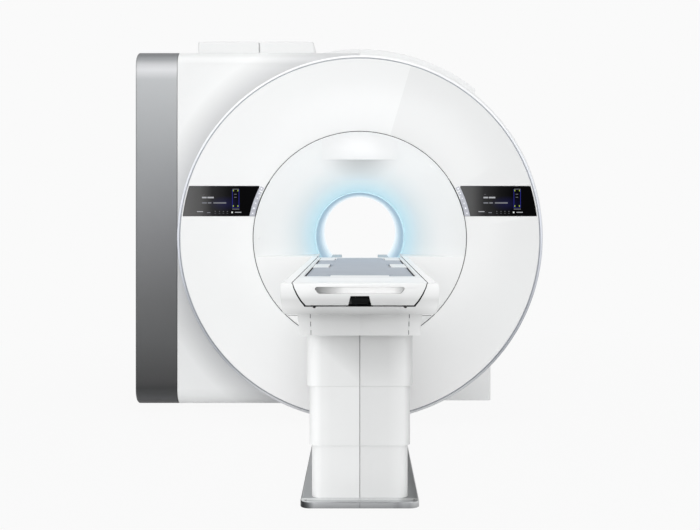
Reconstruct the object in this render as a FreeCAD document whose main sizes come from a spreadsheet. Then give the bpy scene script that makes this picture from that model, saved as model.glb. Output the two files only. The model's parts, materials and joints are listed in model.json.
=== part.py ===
"""Whole-body MRI scanner with its patient table, as a parametric document.

Frame: origin on the floor straight below the magnet's isocentre, +X to the right of
someone facing the patient opening, +Y from the table towards the rear, +Z up. Millimetres.
"""
import FreeCAD, Part
import math
import os
import Sketcher
from FreeCAD import Placement, Rotation, Vector

# ---------------------------------------------------------------- driving dimensions
SIZES = [
    ("isocentre_height", 1190, "bore axis above the floor"),
    ("bore_radius", 300, "clear radius of the patient bore"),
    ("bore_front", -640, "where the funnel ends and the straight bore begins"),
    ("bore_rear", 988, "where the straight bore ends and the rear flare begins"),
    ("gantry_front", -1106, "front plane of the gantry"),
    ("gantry_rear", 1106, "rear plane of the gantry"),
    ("seam_radius", 680, "seam between the funnel and the front ring"),
    ("ring_radius", 1145, "outer edge of the front ring"),
    ("rim_radius", 1166, "outside of the rim behind the ring"),
    ("body_front", -720, "front plane of the gantry body behind the ring"),
    ("body_rear", 1020, "rear edge of the body covers"),
    ("drum_radius", 1242, "outside of the round body cover"),
    ("body_bottom", 45, "lower edge of the body covers"),
    ("cabinet_top", 2450, "top of the square cabinet side"),
    ("cabinet_left", -1235, "seam between the cabinet and the metal band"),
    ("band_left", -1519, "outer side of the metal band"),
    ("corner_radius", 110, "rounding of the cabinet along its long edges"),
    ("cover_wall", 12, "wall of the moulded covers"),
    ("seam_gap", 2, "gap at the cover seams"),
    ("turret_front", -500, "front of the turret and top covers"),
    ("turret_rear", 700, "rear of the turret and top covers"),
    ("turret_top", 2550, "top of the turret covers"),
    ("turret_left", -1130, "left end of the turret covers"),
    ("turret_seam", -702, "seam between the two turret covers"),
    ("turret_right", -306, "right end of the turret covers"),
    ("top_radius", 1308, "outside of the curved top covers"),
    ("top_reach", 808, "right end of the curved top cover"),
    ("foot_right", 927, "right side of the foot cover"),
    ("foot_front", -420, "front of the foot cover"),
    ("funnel_sag", 62, "how far the funnel's curve swells inwards at its middle"),
    ("funnel_wall", 15, "wall of the funnel"),
    ("visor_height", 506, "flat underside of the visor above the axis"),
    ("visor_edge", -1010, "straight lower edge of the visor along the bore"),
    ("deck_drop", 117, "table top below the axis"),
    ("channel_half", 275, "half width of the cradle channel in the deck"),
    ("bridge_drop", 190, "top of the bore bridge below the axis"),
    ("groove_half", 152, "half width of the groove in the bore bridge"),
    ("groove_drop", 240, "floor of that groove below the axis"),
    ("kick_drop", 493, "seam of the kick panel below the axis"),
    ("display_inner", 719, "inner radius of the displays"),
    ("display_outer", 1135, "outer radius of the displays"),
    ("display_low", 140.6, "lower edge of the displays above the axis"),
    ("display_high", 330.5, "upper edge of the displays above the axis"),
    ("key_radius", 700.5, "radius on which the keys sit"),
    ("key_size", 25, "side of a key"),
    ("key_pitch", 2.72, "angle from key to key"),
    ("key_middle", 19.85, "angle of the middle of a row of keys"),
    ("magnet_middle", 180, "middle of the magnet along the bore"),
    ("vessel_half", 740, "half length of the vacuum vessel"),
    ("vessel_outer", 1050, "outside radius of the vacuum vessel"),
    ("vessel_inner", 455, "warm bore radius of the vacuum vessel"),
    ("neck_place", -600, "service neck, sideways"),
    ("quench_place", -916, "quench outlet, sideways"),
    ("quench_bore", 80, "inside radius of the quench outlet"),
    ("anchor_reach", 350, "floor anchors of the magnet, sideways"),
    ("anchor_spread", 720, "floor anchors of the magnet, from its middle"),
    ("table_top", 1073, "top of the cradle"),
    ("table_front", -3525, "foot end of the cradle and its frame"),
    ("frame_rear", -1150, "head end of the table frame"),
    ("cap_rear", -3225, "where the end cap meets the cradle board"),
    ("board_rear", -1250, "head end of the cradle board"),
    ("cradle_half", 263, "half width of the cradle at its top"),
    ("frame_half", 302, "half width of the table frame at its top"),
    ("frame_bottom", 952, "underside of the table frame"),
    ("trough_floor", 981, "floor of the trough in the table frame"),
    ("guide_place", 177, "guide channels in the trough's floor, sideways"),
    ("under_front", -3050, "foot end of the under frame"),
    ("under_rear", -1160, "head end of the under frame"),
    ("under_bottom", 810, "lower edge of the under frame"),
    ("lift_front", -2810, "foot side of the lowest sleeve"),
    ("lift_rear", -1560, "head side of the lowest sleeve"),
    ("sleeve_half", 222.5, "half width of the lowest sleeve"),
    ("sleeve_step", 11, "how far each sleeve stands outside the one below"),
    ("sleeve_wall", 4, "wall of the sleeves"),
    ("sleeve_corner", 40, "rounding of the sleeves' upright edges"),
    ("plate_half", 273, "half width of the base plate"),
    ("plate_front", -2871, "foot end of the base plate"),
    ("plate_rear", -1300, "head end of the base plate"),
    ("plate_thick", 30, "thickness of the base plate"),
    ("plate_corner", 45, "rounding of the base plate's corners"),
    ("pulley_radius", 45, "radius of the belt pulleys"),
    ("pulley_height", 932, "axis of the belt pulleys"),
    ("idler_place", -2990, "idler pulley along the table"),
    ("drive_place", -1230, "drive pulley along the table"),
    ("belt_half", 11, "half width of the belt"),
    ("running_gap", 0.3, "gap between curved faces that move past each other"),
    ("shaft_radius", 8, "radius of the pulley shafts"),
    ("shaft_gap", 0.05, "radial running clearance of the shafts"),
    ("pad_half", 236.5, "half width of the pad"),
    ("pad_thick", 12, "thickness of the pad and depth of its recess"),
    ("pad_gap", 4, "gap between the pad and the walls of its recess"),
    ("slot_half", 175, "half width of the pull slot at its top"),
    ("notch_half", 36, "half width of the notch under the end cap"),
]
KEYS_IN_A_ROW = 6
AXIS = "$isocentre_height"

doc = FreeCAD.newDocument("mri_scanner")
sheet = doc.addObject("Spreadsheet::Sheet", "Sizes")
for row, (alias, value, meaning) in enumerate(SIZES, start=1):
    sheet.set("A%d" % row, meaning)
    sheet.set("B%d" % row, str(value))
    sheet.setAlias("B%d" % row, alias)
doc.recompute()

nodes = {}


# ---------------------------------------------------------------- small helpers
def cell(text):
    """A formula in which $name stands for a cell of the sheet."""
    return str(text).replace("$", "Sizes.")


def size(text):
    """The value of a formula, in millimetres."""
    return float(sheet.evalExpression(cell(text)))


def bind(thing, **formulas):
    """Tie properties to formulas; a double underscore in a name is a dot."""
    for name, text in formulas.items():
        thing.setExpression(name.replace("__", "."), cell(text))
    return thing


def block(name, across, along, upright):
    """A box from its spans in X, Y and Z."""
    thing = doc.addObject("Part::Box", name)
    spans = zip(("Length", "Width", "Height"), "xyz", (across, along, upright))
    for length, axis, (low, high) in spans:
        thing.setExpression(length, cell("(%s) - (%s)" % (high, low)))
        thing.setExpression("Placement.Base." + axis, cell(low))
    return thing


def drum(name, radius, along, place=("0", AXIS)):
    """A cylinder along Y; place is its axis in X and Z."""
    thing = doc.addObject("Part::Cylinder", name)
    thing.Placement = Placement(Vector(0, 0, 0), Rotation(Vector(1, 0, 0), -90))
    return bind(thing, Radius=radius, Height="(%s) - (%s)" % (along[1], along[0]),
                Placement__Base__x=place[0], Placement__Base__y=along[0],
                Placement__Base__z=place[1])


def post(name, radius, upright, place):
    """A cylinder along Z; place is its axis in X and Y."""
    thing = doc.addObject("Part::Cylinder", name)
    return bind(thing, Radius=radius, Height="(%s) - (%s)" % (upright[1], upright[0]),
                Placement__Base__x=place[0], Placement__Base__y=place[1],
                Placement__Base__z=upright[0])


def spindle(name, radius, across, place):
    """A cylinder along X; place is its axis in Y and Z."""
    thing = doc.addObject("Part::Cylinder", name)
    thing.Placement = Placement(Vector(0, 0, 0), Rotation(Vector(0, 1, 0), 90))
    return bind(thing, Radius=radius, Height="(%s) - (%s)" % (across[1], across[0]),
                Placement__Base__x=across[0], Placement__Base__y=place[0],
                Placement__Base__z=place[1])


def fuse(name, *things):
    joined = doc.addObject("Part::MultiFuse", name)
    joined.Shapes = list(things)
    return joined


def common(name, *things):
    shared = doc.addObject("Part::MultiCommon", name)
    shared.Shapes = list(things)
    return shared


def cut(name, base, *tools):
    rest = doc.addObject("Part::Cut", name)
    rest.Base = base
    rest.Tool = tools[0] if len(tools) == 1 else fuse(name + "_tools", *tools)
    return rest


def rounded(name, thing, radius, wanted):
    """Fillet the edges whose middle and direction pass the test."""
    doc.recompute()
    blend = doc.addObject("Part::Fillet", name)
    blend.Base = thing
    blend.Edges = [(number, size(radius), size(radius))
                   for number, edge in enumerate(thing.Shape.Edges, start=1) if wanted(edge)]
    return blend


def bevelled(name, thing, width, wanted):
    """Chamfer the edges whose middle and direction pass the test."""
    doc.recompute()
    bevel = doc.addObject("Part::Chamfer", name)
    bevel.Base = thing
    bevel.Edges = [(number, size(width), size(width))
                   for number, edge in enumerate(thing.Shape.Edges, start=1) if wanted(edge)]
    return bevel


def runs_along(edge, axis):
    """True for a straight edge along an axis, 0 for X, 1 for Y and 2 for Z."""
    if not isinstance(edge.Curve, Part.Line):
        return False
    return abs(abs(edge.tangentAt(edge.FirstParameter)[axis]) - 1) < 1e-6


def middle(edge):
    return edge.valueAt((edge.FirstParameter + edge.LastParameter) / 2)


def keep(node, thing):
    """Name a finished sub-part."""
    thing.Label = node
    nodes[node] = thing
    return thing


def new_body(name, lift=None):
    body = doc.addObject("PartDesign::Body", name)
    if lift:
        body.setExpression("Placement.Base.z", cell(lift))
    return body


def plane_of(body, role):
    return next(item for item in body.Origin.OriginFeatures if item.Role == role)


def sketch_on(body, role, *loops):
    """A sketch of closed loops of straight runs whose corners are formulas."""
    sketch = body.newObject("Sketcher::SketchObject", body.Name + "_outline")
    sketch.AttachmentSupport = [(plane_of(body, role), "")]
    sketch.MapMode = "FlatFace"
    for loop in loops:
        ends = [Vector(size(across), size(upright), 0) for across, upright in loop]
        edges = [sketch.addGeometry(Part.LineSegment(ends[index - 1], end), False)
                 for index, end in enumerate(ends)]
        for index, corner in enumerate(loop):
            following = edges[(index + 1) % len(edges)]
            sketch.addConstraint(Sketcher.Constraint("Coincident", edges[index], 2, following, 1))
            for kind, text in zip(("DistanceX", "DistanceY"), corner):
                sketch.addConstraint(Sketcher.Constraint(kind, -1, 1, edges[index], 2, size(text)))
                sketch.setExpression("Constraints[%d]" % (sketch.ConstraintCount - 1), cell(text))
    return sketch


def turned(name, *loops, half=False):
    """A body of revolution about the bore axis; corners are (radius, Y)."""
    body = new_body(name, AXIS)
    sketch = sketch_on(body, "XY_Plane", *loops)
    revolve = body.newObject("PartDesign::Revolution", name + "_turned")
    revolve.Profile = sketch
    revolve.ReferenceAxis = (sketch, ["V_Axis"])
    revolve.Angle = 180 if half else 360
    revolve.Midplane = half
    sketch.Visibility = False
    return body


def extruded(name, along, *loops):
    """A body with one section, corners (X, Z), that runs along Y."""
    body = new_body(name)
    sketch = sketch_on(body, "XZ_Plane", *loops)
    pad = body.newObject("PartDesign::Pad", name + "_run")
    pad.Profile = sketch
    pad.Reversed = True
    pad.setExpression("Length", cell("(%s) - (%s)" % (along[1], along[0])))
    body.setExpression("Placement.Base.y", cell(along[0]))
    sketch.Visibility = False
    return body


def spanned(name, across, *loops):
    """A body with one section, corners (Y, Z), that runs along X."""
    body = new_body(name)
    sketch = sketch_on(body, "YZ_Plane", *loops)
    pad = body.newObject("PartDesign::Pad", name + "_run")
    pad.Profile = sketch
    pad.setExpression("Length", cell("(%s) - (%s)" % (across[1], across[0])))
    body.setExpression("Placement.Base.x", cell(across[0]))
    sketch.Visibility = False
    return body


def soften(body, width, wanted):
    """Bevel edges of a body's last feature."""
    doc.recompute()
    last = body.Tip
    names = ["Edge%d" % number for number, edge in enumerate(last.Shape.Edges, start=1)
             if wanted(edge)]
    bevel = body.newObject("PartDesign::Chamfer", body.Name + "_bevel%d" % len(body.Group))
    bevel.Base = (last, names)
    bevel.setExpression("Size", cell(width))
    body.Tip = bevel
    return body


def circle_at(radius, along):
    """Test for a round edge about the bore axis, by radius and Y."""
    def wanted(edge):
        if not isinstance(edge.Curve, Part.Circle):
            return False
        same_radius = abs(edge.Curve.Radius - size(radius)) < 0.01
        return same_radius and abs(edge.Curve.Center.y - size(along)) < 0.01
    return wanted


def mirrored_loop(right_side):
    """Close a section that is the same left and right from its right side, top to bottom."""
    left_side = [("-(%s)" % across, upright) for across, upright in reversed(right_side)]
    return right_side + left_side


# ---------------------------------------------------------------- gantry covers
def rounded_box(name, across, along, upright, radius):
    """A box whose long edges, along X, are rounded."""
    return rounded(name, block(name + "_block", across, along, upright), radius,
                   lambda edge: runs_along(edge, 0))


def display_space(name, side, inner, outer, spare, along):
    """The space of one display: between two radii, with level top and bottom."""
    low = "%s + $display_low - %s" % (AXIS, spare)
    high = "%s + $display_high + %s" % (AXIS, spare)
    reach = "$display_outer + 10"
    across = ("300", reach) if side > 0 else ("-(%s)" % reach, "-300")
    level = block(name + "_level", across, along, (low, high))
    disc = drum(name + "_disc", outer, along)
    whole = common(name + "_whole", level, disc)
    return cut(name, whole, drum(name + "_hub", inner, ("%s - 5" % along[0], "%s + 5" % along[1])))


def front_ring():
    """Moulded front ring: a flat face with returned lips and cut-outs for the displays."""
    inner, outer, wall = "$seam_radius + $seam_gap", "$ring_radius", "$cover_wall"
    face = "$gantry_front"
    ring = turned("ring_shell", [
        (inner, face), (outer, face), (outer, face + " + 40"),
        ("%s - %s" % (outer, wall), face + " + 40"),
        ("%s - %s" % (outer, wall), "%s + %s" % (face, wall)),
        ("%s + %s" % (inner, wall), "%s + %s" % (face, wall)),
        ("%s + %s" % (inner, wall), face + " + 40"), (inner, face + " + 40")])
    soften(ring, "5", circle_at(outer, face))
    soften(ring, "3", circle_at(inner, face))
    windows = [display_space("window" + name, side, "$seam_radius - 10", "$display_outer + $seam_gap",
                             "$seam_gap", ("$gantry_front - 5", "$gantry_front + 60"))
               for name, side in (("_left", -1), ("_right", 1))]
    keep("front_ring_cover", cut("ring_with_windows", ring, *windows))


def rims():
    """Trim ring, set back in the gap round the ring, and the bright rim outside it."""
    trim_face = "$gantry_front + 7"
    keep("rim_trim", turned("trim_ring", [
        ("$ring_radius + 1", trim_face), ("$ring_radius + 5", trim_face),
        ("$ring_radius + 5", "$gantry_front + 40"), ("$ring_radius + 1", "$gantry_front + 40")]))
    rim = turned("rim_shell", [
        ("$ring_radius + 6", "$gantry_front + 1"), ("$rim_radius", "$gantry_front + 1"),
        ("$rim_radius", "$body_front - 2"), ("$rim_radius - 60", "$body_front - 2"),
        ("$rim_radius - 60", "$body_front - 10"), ("$rim_radius - 8", "$body_front - 10"),
        ("$rim_radius - 8", "$gantry_front + 20"), ("$ring_radius + 6", "$gantry_front + 20")])
    keep("rim_cover", soften(rim, "4", circle_at("$rim_radius", "$gantry_front + 1")))


def body_covers():
    """Round cover on the right, square cabinet on the left and the plate at the rear."""
    outer, wall = "$drum_radius", "$cover_wall"
    front, rear, opening = "$body_front", "$body_rear", "$rim_radius - 90"
    shell = turned("drum_shell", [
        (opening, front), (outer, front), (outer, rear), ("%s - %s" % (outer, wall), rear),
        ("%s - %s" % (outer, wall), "%s + %s" % (front, wall)),
        (opening, "%s + %s" % (front, wall))], half=True)
    soften(shell, "11", circle_at(outer, front))
    below = block("below_drum", ("-10", "$drum_radius + 10"), ("$body_front - 10", "$gantry_rear"),
                  ("-100", "$body_bottom"))
    edge = block("drum_edge", ("-10", "$seam_gap / 2"), ("$body_front - 10", "$gantry_rear"),
                 ("0", "$cabinet_top + 10"))
    keep("drum_cover", cut("drum_half", shell, below, edge))

    left, top = "$cabinet_left", "$cabinet_top"
    outside = rounded_box("cabinet_outside", (left, "-$seam_gap / 2"), (front, rear),
                          ("$body_bottom", top), "$corner_radius")
    inside = rounded_box("cabinet_inside", (left + " - 10", "10"), (front + " + " + wall, rear + " - " + wall),
                         ("$body_bottom + " + wall, "%s - %s" % (top, wall)),
                         "$corner_radius - " + wall)
    hole = drum("cabinet_hole", opening, (front + " - 10", front + " + 30"))
    rear_hole = drum("cabinet_rear_hole", "$drum_radius - 60", (rear + " - 30", rear + " + 10"))
    feet_hole = block("cabinet_feet_hole", ("-$anchor_reach - 150", "10"),
                      (front + " + 60", rear + " - 30"), ("0", "$body_bottom + 60"))
    neck_hole = block("cabinet_neck_hole", ("$turret_left + 40", "$turret_right - 40"),
                      ("$turret_front + 60", "$turret_rear - 60"), (top + " - 60", top + " + 10"))
    keep("side_cabinet", cut("cabinet_shell", outside, inside, hole, rear_hole, feet_hole,
                             neck_hole))

    outside = rounded_box("band_outside", ("$band_left", left + " - $seam_gap"), (front, rear),
                          ("$body_bottom", top), "$corner_radius")
    outside = bevelled("band_softened", outside, "10",
                       lambda edge: abs(middle(edge).x - size("$band_left")) < 0.01)
    inside = rounded_box("band_inside", ("$band_left + 6", left + " + 10"),
                         (front + " + 6", rear + " - 6"), ("$body_bottom + 6", top + " - 6"),
                         "$corner_radius - 6")
    keep("side_band", cut("band_shell", outside, inside))

    flare, mouth = "$bore_radius + 120", "$gantry_rear"
    plate = turned("rear_plate", [
        ("$drum_radius - 14", rear + " + 2"), ("$drum_radius - 14", mouth), (flare, mouth),
        ("$bore_radius + 40", mouth + " - 40"), ("$bore_radius", "$bore_rear"),
        ("$bore_radius + 14", "$bore_rear"), ("$bore_radius + 54", mouth + " - 44"),
        (flare + " + 4", "%s - %s" % (mouth, wall)),
        ("$drum_radius - 14 - " + wall, "%s - %s" % (mouth, wall)),
        ("$drum_radius - 14 - " + wall, rear + " + 2")])
    soften(plate, "11", circle_at("$drum_radius - 14", mouth))
    under = block("below_rear", ("-$drum_radius", "$drum_radius"), (rear + " - 50", mouth + " + 10"),
                  ("-100", "$body_bottom"))
    keep("rear_cover", cut("rear_plate_trimmed", plate, under))

    foot = block("foot_block", ("$anchor_reach + 100", "$foot_right"), ("$foot_front", rear + " - 60"),
                 ("$body_bottom - 20", "$body_bottom + 380"))
    foot = rounded("foot_rounded", foot, "18",
                   lambda edge: runs_along(edge, 2) and middle(edge).x > size("$foot_right") - 1)
    keep("foot_cover", cut("foot_trimmed", foot, drum("foot_clearance", "$drum_radius + $seam_gap",
                                                      ("$foot_front - 10", rear))))


def top_covers():
    """Turret covers over the service neck, and the curved covers beside them."""
    front, rear, top, base = "$turret_front", "$turret_rear", "$turret_top", "$cabinet_top + 2"
    gap, wall = "$seam_gap", "8"
    ends = {"turret_cover_left": ("$turret_left", "$turret_seam - " + gap, 0),
            "turret_cover_right": ("$turret_seam", "$turret_right", 18)}
    for node, (left, right, slope) in ends.items():
        shell = extruded(node + "_shell", (front, rear), [
            (left, base), (right, base), ("%s - %d" % (right, slope), top), (left, top)])
        soften(shell, "7", lambda edge: middle(edge).z > size(top) - 0.01
               or (not runs_along(edge, 1) and middle(edge).z > size(base) + 1))
        hollow = block(node + "_hollow", (left + " + " + wall, "%s - %s - %d" % (right, wall, slope)),
                       ("%s + %s" % (front, wall), "%s - %s" % (rear, wall)),
                       (base + " - 10", "%s - %s" % (top, wall)))
        tools = [hollow]
        if node == "turret_cover_left":
            tools.append(post(node + "_outlet", "$quench_bore + 20", (top + " - 40", top + " + 10"),
                              ("$quench_place", "100")))
        keep(node, cut(node + "_cut", shell, *tools))

    outer = drum("top_left_arc", "$top_radius", (front, rear))
    solid = common("top_left_solid", outer, block("top_left_span", ("$turret_right + " + gap, "-" + gap),
                                                  (front, rear), (base, top)))
    inner = drum("top_left_inner_arc", "$top_radius - " + wall, (front + " + " + wall, rear + " - " + wall))
    hollow = common("top_left_hollow", inner, block(
        "top_left_inner_span", ("$turret_right + 2 * " + wall, "10"),
        (front + " + " + wall, rear + " - " + wall), (base + " - 10", top)))
    keep("top_cover_left", cut("top_left_cut", solid, hollow))

    arc = drum("top_right_arc", "$top_radius", (front, rear))
    span = block("top_right_span", ("0", "$top_reach"), (front, rear), ("%s + 900" % AXIS, top))
    solid = cut("top_right_solid", common("top_right_whole", arc, span),
                drum("top_right_under", "$drum_radius + " + gap, (front + " - 10", rear + " + 10")))
    solid = rounded("top_right_soft", solid, "26",
                    lambda edge: runs_along(edge, 1) and middle(edge).x > size("$top_reach") - 1
                    and middle(edge).z > size("%s + 1020" % AXIS))
    inner = drum("top_right_inner_arc", "$top_radius - " + wall,
                 (front + " + " + wall, rear + " - " + wall))
    hollow = common("top_right_hollow", inner, block(
        "top_right_inner_span", ("-10", "$top_reach - 60"),
        (front + " + " + wall, rear + " - " + wall), ("%s + 900" % AXIS, top)))
    keep("top_cover_right", cut("top_right_cut", solid, hollow))


# ---------------------------------------------------------------- patient opening
FUNNEL_STEPS = 4
VISOR_FACE = [("0", "0"), ("25", "39"), ("50", "84"), ("72", "144")]


def funnel_curve(spare="0", back="0"):
    """Corners of the funnel's swelling curve from the front seam to the bore, moved by gaps."""
    wide, narrow = "$seam_radius - $seam_gap", "$bore_radius + 8"
    corners = []
    for step in range(FUNNEL_STEPS + 1):
        share = step / FUNNEL_STEPS
        radius = "%g * (%s) + %g * (%s) - %g * $funnel_sag - (%s)" % (
            1 - share, wide, share, narrow, 4 * share * (1 - share), spare)
        corners.append((radius, "%g * $gantry_front + %g * $bore_front + %s" % (1 - share, share, back)))
    return corners


def funnel_mouth(name, spare):
    """The space in front of the funnel's face, which the visor and the deck share."""
    return turned(name, [("0", "$gantry_front")] + funnel_curve(spare) + [("0", "$bore_front")])


def funnel():
    """Swelling funnel with its round screw caps, the light ring at its neck and the visor."""
    narrow, wall = "$bore_radius + 8", "$funnel_wall"
    shell = turned("funnel_shell", funnel_curve() + [
        (narrow, "$bore_front + 20"), ("%s + %s" % (narrow, wall), "$bore_front + 20")]
        + list(reversed(funnel_curve(back=wall)))[1:])
    caps = []
    for turn in (0, 45, 135, 180):
        angle = math.radians(turn)
        reach = "$seam_radius - 36"
        caps.append(drum("funnel_cap%d" % turn, "7", ("$gantry_front + 23", "$gantry_front + 30"),
                         ("(%s) * %.6f" % (reach, math.cos(angle)),
                          "%s + (%s) * %.6f" % (AXIS, reach, math.sin(angle)))))
    keep("front_funnel", fuse("funnel_with_caps", shell, *caps))

    keep("light_ring", turned("light_ring_shell", [
        ("$bore_radius", "$bore_front + 1"), ("$bore_radius + 7", "$bore_front + 1"),
        ("$bore_radius + 7", "$bore_front + 19"), ("$bore_radius", "$bore_front + 19")]))

    low = AXIS + " + $visor_height"
    face = [("$visor_edge - " + forward, "%s + %s" % (low, rise)) for forward, rise in VISOR_FACE]
    hood = spanned("visor_hood", ("-$seam_radius / 2", "$seam_radius / 2"),
                   face + [("$bore_front", face[-1][1]), ("$bore_front", low)])
    keep("laser_visor", common("visor_solid", hood, funnel_mouth("visor_mouth", "0.5")))


def deck():
    """Docking deck level with the table top, its cradle channel, and the kick panel below."""
    top, low = "%s - $deck_drop" % AXIS, "%s - $kick_drop" % AXIS
    mouth = funnel_mouth("deck_mouth", "1")
    level = block("deck_level", ("-$seam_radius", "$seam_radius"), ("$gantry_front", "$bore_front"),
                  (low + " + 1", top))
    channel = block("deck_channel", ("-$channel_half", "$channel_half"),
                    ("$gantry_front - 10", "$bore_front + 10"), ("%s - $bridge_drop" % AXIS, top + " + 10"))
    groove = block("deck_groove", ("-$groove_half", "$groove_half"),
                   ("$gantry_front - 10", "$bore_front + 10"), ("%s - $groove_drop" % AXIS, top + " + 10"))
    solid = common("deck_solid", mouth, level)
    keep("docking_deck", cut("deck_cut", solid, channel, groove))

    lower = block("kick_lower", ("-$seam_radius", "$seam_radius"),
                  ("$gantry_front", "$gantry_front + 14"), ("%s - $seam_radius" % AXIS, low + " - 1"))
    keep("kick_panel", common("kick_solid", funnel_mouth("kick_mouth", "1"), lower))


def bore():
    """Bore liner and the bridge in it on which the cradle runs."""
    start, end = "$bore_front + 20", "$bore_rear"
    keep("bore_liner", turned("bore_tube", [
        ("$bore_radius", start), ("$bore_radius + 6", start), ("$bore_radius + 6", end + " - 1"),
        ("$bore_radius", end + " - 1")]))
    whole = drum("bridge_round", "$bore_radius - 0.2", ("$bore_front + 1", end + " - 1"))
    low = block("bridge_low", ("-$bore_radius", "$bore_radius"), ("$bore_front + 1", end + " - 1"),
                ("%s - $bore_radius" % AXIS, "%s - $bridge_drop" % AXIS))
    groove = block("bridge_groove", ("-$groove_half", "$groove_half"), ("$bore_front", end),
                   ("%s - $groove_drop" % AXIS, AXIS))
    keep("bore_bridge", cut("bridge_cut", common("bridge_solid", whole, low), groove))


# ---------------------------------------------------------------- displays and keys
def displays():
    """Slanted-ended displays, the key panels beside them and six keys in each."""
    for side_name, side in (("left", -1), ("right", 1)):
        keep("display_" + side_name, display_space(
            "display_solid_" + side_name, side, "$display_inner", "$display_outer", "0",
            ("$gantry_front", "$gantry_front + 34")))
        panel = display_space("key_panel_solid_" + side_name, side, "$seam_radius + 3",
                              "$display_inner - $seam_gap", "0", ("$gantry_front + 2", "$gantry_front + 34"))
        holes = []
        for number in range(KEYS_IN_A_ROW):
            offset = (number - (KEYS_IN_A_ROW - 1) / 2) * size("$key_pitch")
            angle = size("$key_middle") + offset
            if side < 0:
                angle = 180 - angle
            holes.append(key_block("key_hole_%s%d" % (side_name, number), angle, "$key_size + 1.2",
                                   "$gantry_front - 5", "$gantry_front + 40"))
            keep("key_%s_%d" % (side_name, number + 1),
                 key_block("key_cap_%s%d" % (side_name, number), angle, "$key_size",
                           "$gantry_front - 1", "$gantry_front + 18"))
        keep("key_panel_" + side_name, cut("key_panel_cut_" + side_name, panel, *holes))


def key_block(name, angle, side, front, back):
    """A square block turned about Y to stand on the ring's radius at an angle."""
    thing = doc.addObject("Part::Box", name)
    bind(thing, Length=side, Width="(%s) - (%s)" % (back, front), Height=side)
    across, upright = math.cos(math.radians(angle)), math.sin(math.radians(angle))
    thing.Placement = Placement(Vector(0, 0, 0), Rotation(Vector(0, 1, 0), -angle))
    reach, half = "$key_radius", "(%s) / 2" % side
    bind(thing, Placement__Base__y=front,
         Placement__Base__x="%s * %.8f - %s * %.8f" % (reach, across, half, across - upright),
         Placement__Base__z="%s + %s * %.8f - %s * %.8f" % (AXIS, reach, upright, half, upright + across))
    return thing


# ---------------------------------------------------------------- magnet and coils
def hollow_ring(name, outer, inner, half_length, outer_wall, inner_wall, end_wall):
    """A closed hollow ring about the bore, centred on the magnet."""
    front, rear = "$magnet_middle - (%s)" % half_length, "$magnet_middle + (%s)" % half_length
    out, bore_side = "%s - %s" % (outer, outer_wall), "%s + %s" % (inner, inner_wall)
    near, far = "%s + %s" % (front, end_wall), "%s - %s" % (rear, end_wall)
    return turned(name, [(inner, front), (outer, front), (outer, rear), (inner, rear)],
                  [(bore_side, near), (out, near), (out, far), (bore_side, far)])


def magnet():
    """Vacuum vessel with its service neck and quench outlet, shield, helium vessel and coils."""
    neck, outlet = ("$neck_place", "$magnet_middle"), ("$quench_place", "100")
    inner_side = "$vessel_outer - 4"
    ring = hollow_ring("vessel_ring", "$vessel_outer", "$vessel_inner", "$vessel_half", "12", "8", "20")
    core = drum("vessel_core", inner_side, ("$magnet_middle - $vessel_half", "$magnet_middle + $vessel_half"))
    neck_tube = cut("neck_tube", post("neck_outside", "150", ("%s + 500" % AXIS, "$cabinet_top - 30"), neck),
                    core)
    core_again = drum("vessel_core_outlet", inner_side,
                      ("$magnet_middle - $vessel_half", "$magnet_middle + $vessel_half"))
    outlet_tube = cut("outlet_tube", post("outlet_outside", "$quench_bore + 12",
                                          ("%s + 300" % AXIS, "$turret_top + 10"), outlet), core_again)
    keep("vacuum_vessel", cut("vessel_cut", fuse("vessel_whole", ring, neck_tube, outlet_tube),
                              post("neck_inside", "140", ("%s + 600" % AXIS, "$turret_top"), neck),
                              post("outlet_socket", "$quench_bore",
                                   ("$turret_top - 150", "$turret_top + 20"), outlet),
                              post("outlet_throat", "$quench_bore - 8",
                                   ("%s + 350" % AXIS, "$turret_top"), outlet)))

    shield = hollow_ring("shield_ring", "$vessel_outer - 50", "$vessel_inner + 45", "$vessel_half - 60",
                         "4", "4", "4")
    keep("thermal_shield", cut("shield_cut", shield, post(
        "shield_neck", "100", ("%s + 600" % AXIS, "%s + 1000" % AXIS), neck)))
    keep("helium_vessel", hollow_ring("helium_ring", "$vessel_outer - 90", "$vessel_inner + 85",
                                      "$vessel_half - 110", "8", "8", "12"))
    inside, outside = "$vessel_inner + 110", "$vessel_inner + 130"
    far = "$vessel_half - 150"
    windings = [fuse_ring("former", inside, outside, "-(%s)" % far, far)]
    for number, (place, width, depth) in enumerate(
            ((-0.86, 130, 150), (-0.5, 70, 80), (-0.17, 50, 60), (0.17, 50, 60), (0.5, 70, 80),
             (0.86, 130, 150))):
        centre = "%g * (%s)" % (place, far)
        windings.append(fuse_ring("winding%d" % number, outside, "%s + %d" % (outside, depth),
                                  "%s - %g" % (centre, width / 2), "%s + %g" % (centre, width / 2)))
    keep("magnet_coils", fuse("coils_on_former", *windings))

    head = post("cold_head_stage", "70", ("%s + 812" % AXIS, "$cabinet_top - 30"), neck)
    flange = post("cold_head_flange", "150", ("$cabinet_top - 30", "$cabinet_top - 12"), neck)
    motor = post("cold_head_motor", "85", ("$cabinet_top - 12", "$turret_top - 20"), neck)
    keep("cold_head", fuse("cold_head_solid", head, flange, motor))


def fuse_ring(name, inner, outer, start, end):
    """A plain ring about the bore, placed from the magnet's middle."""
    start, end = "$magnet_middle + (%s)" % start, "$magnet_middle + (%s)" % end
    return turned(name, [(inner, start), (outer, start), (outer, end), (inner, end)])


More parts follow.
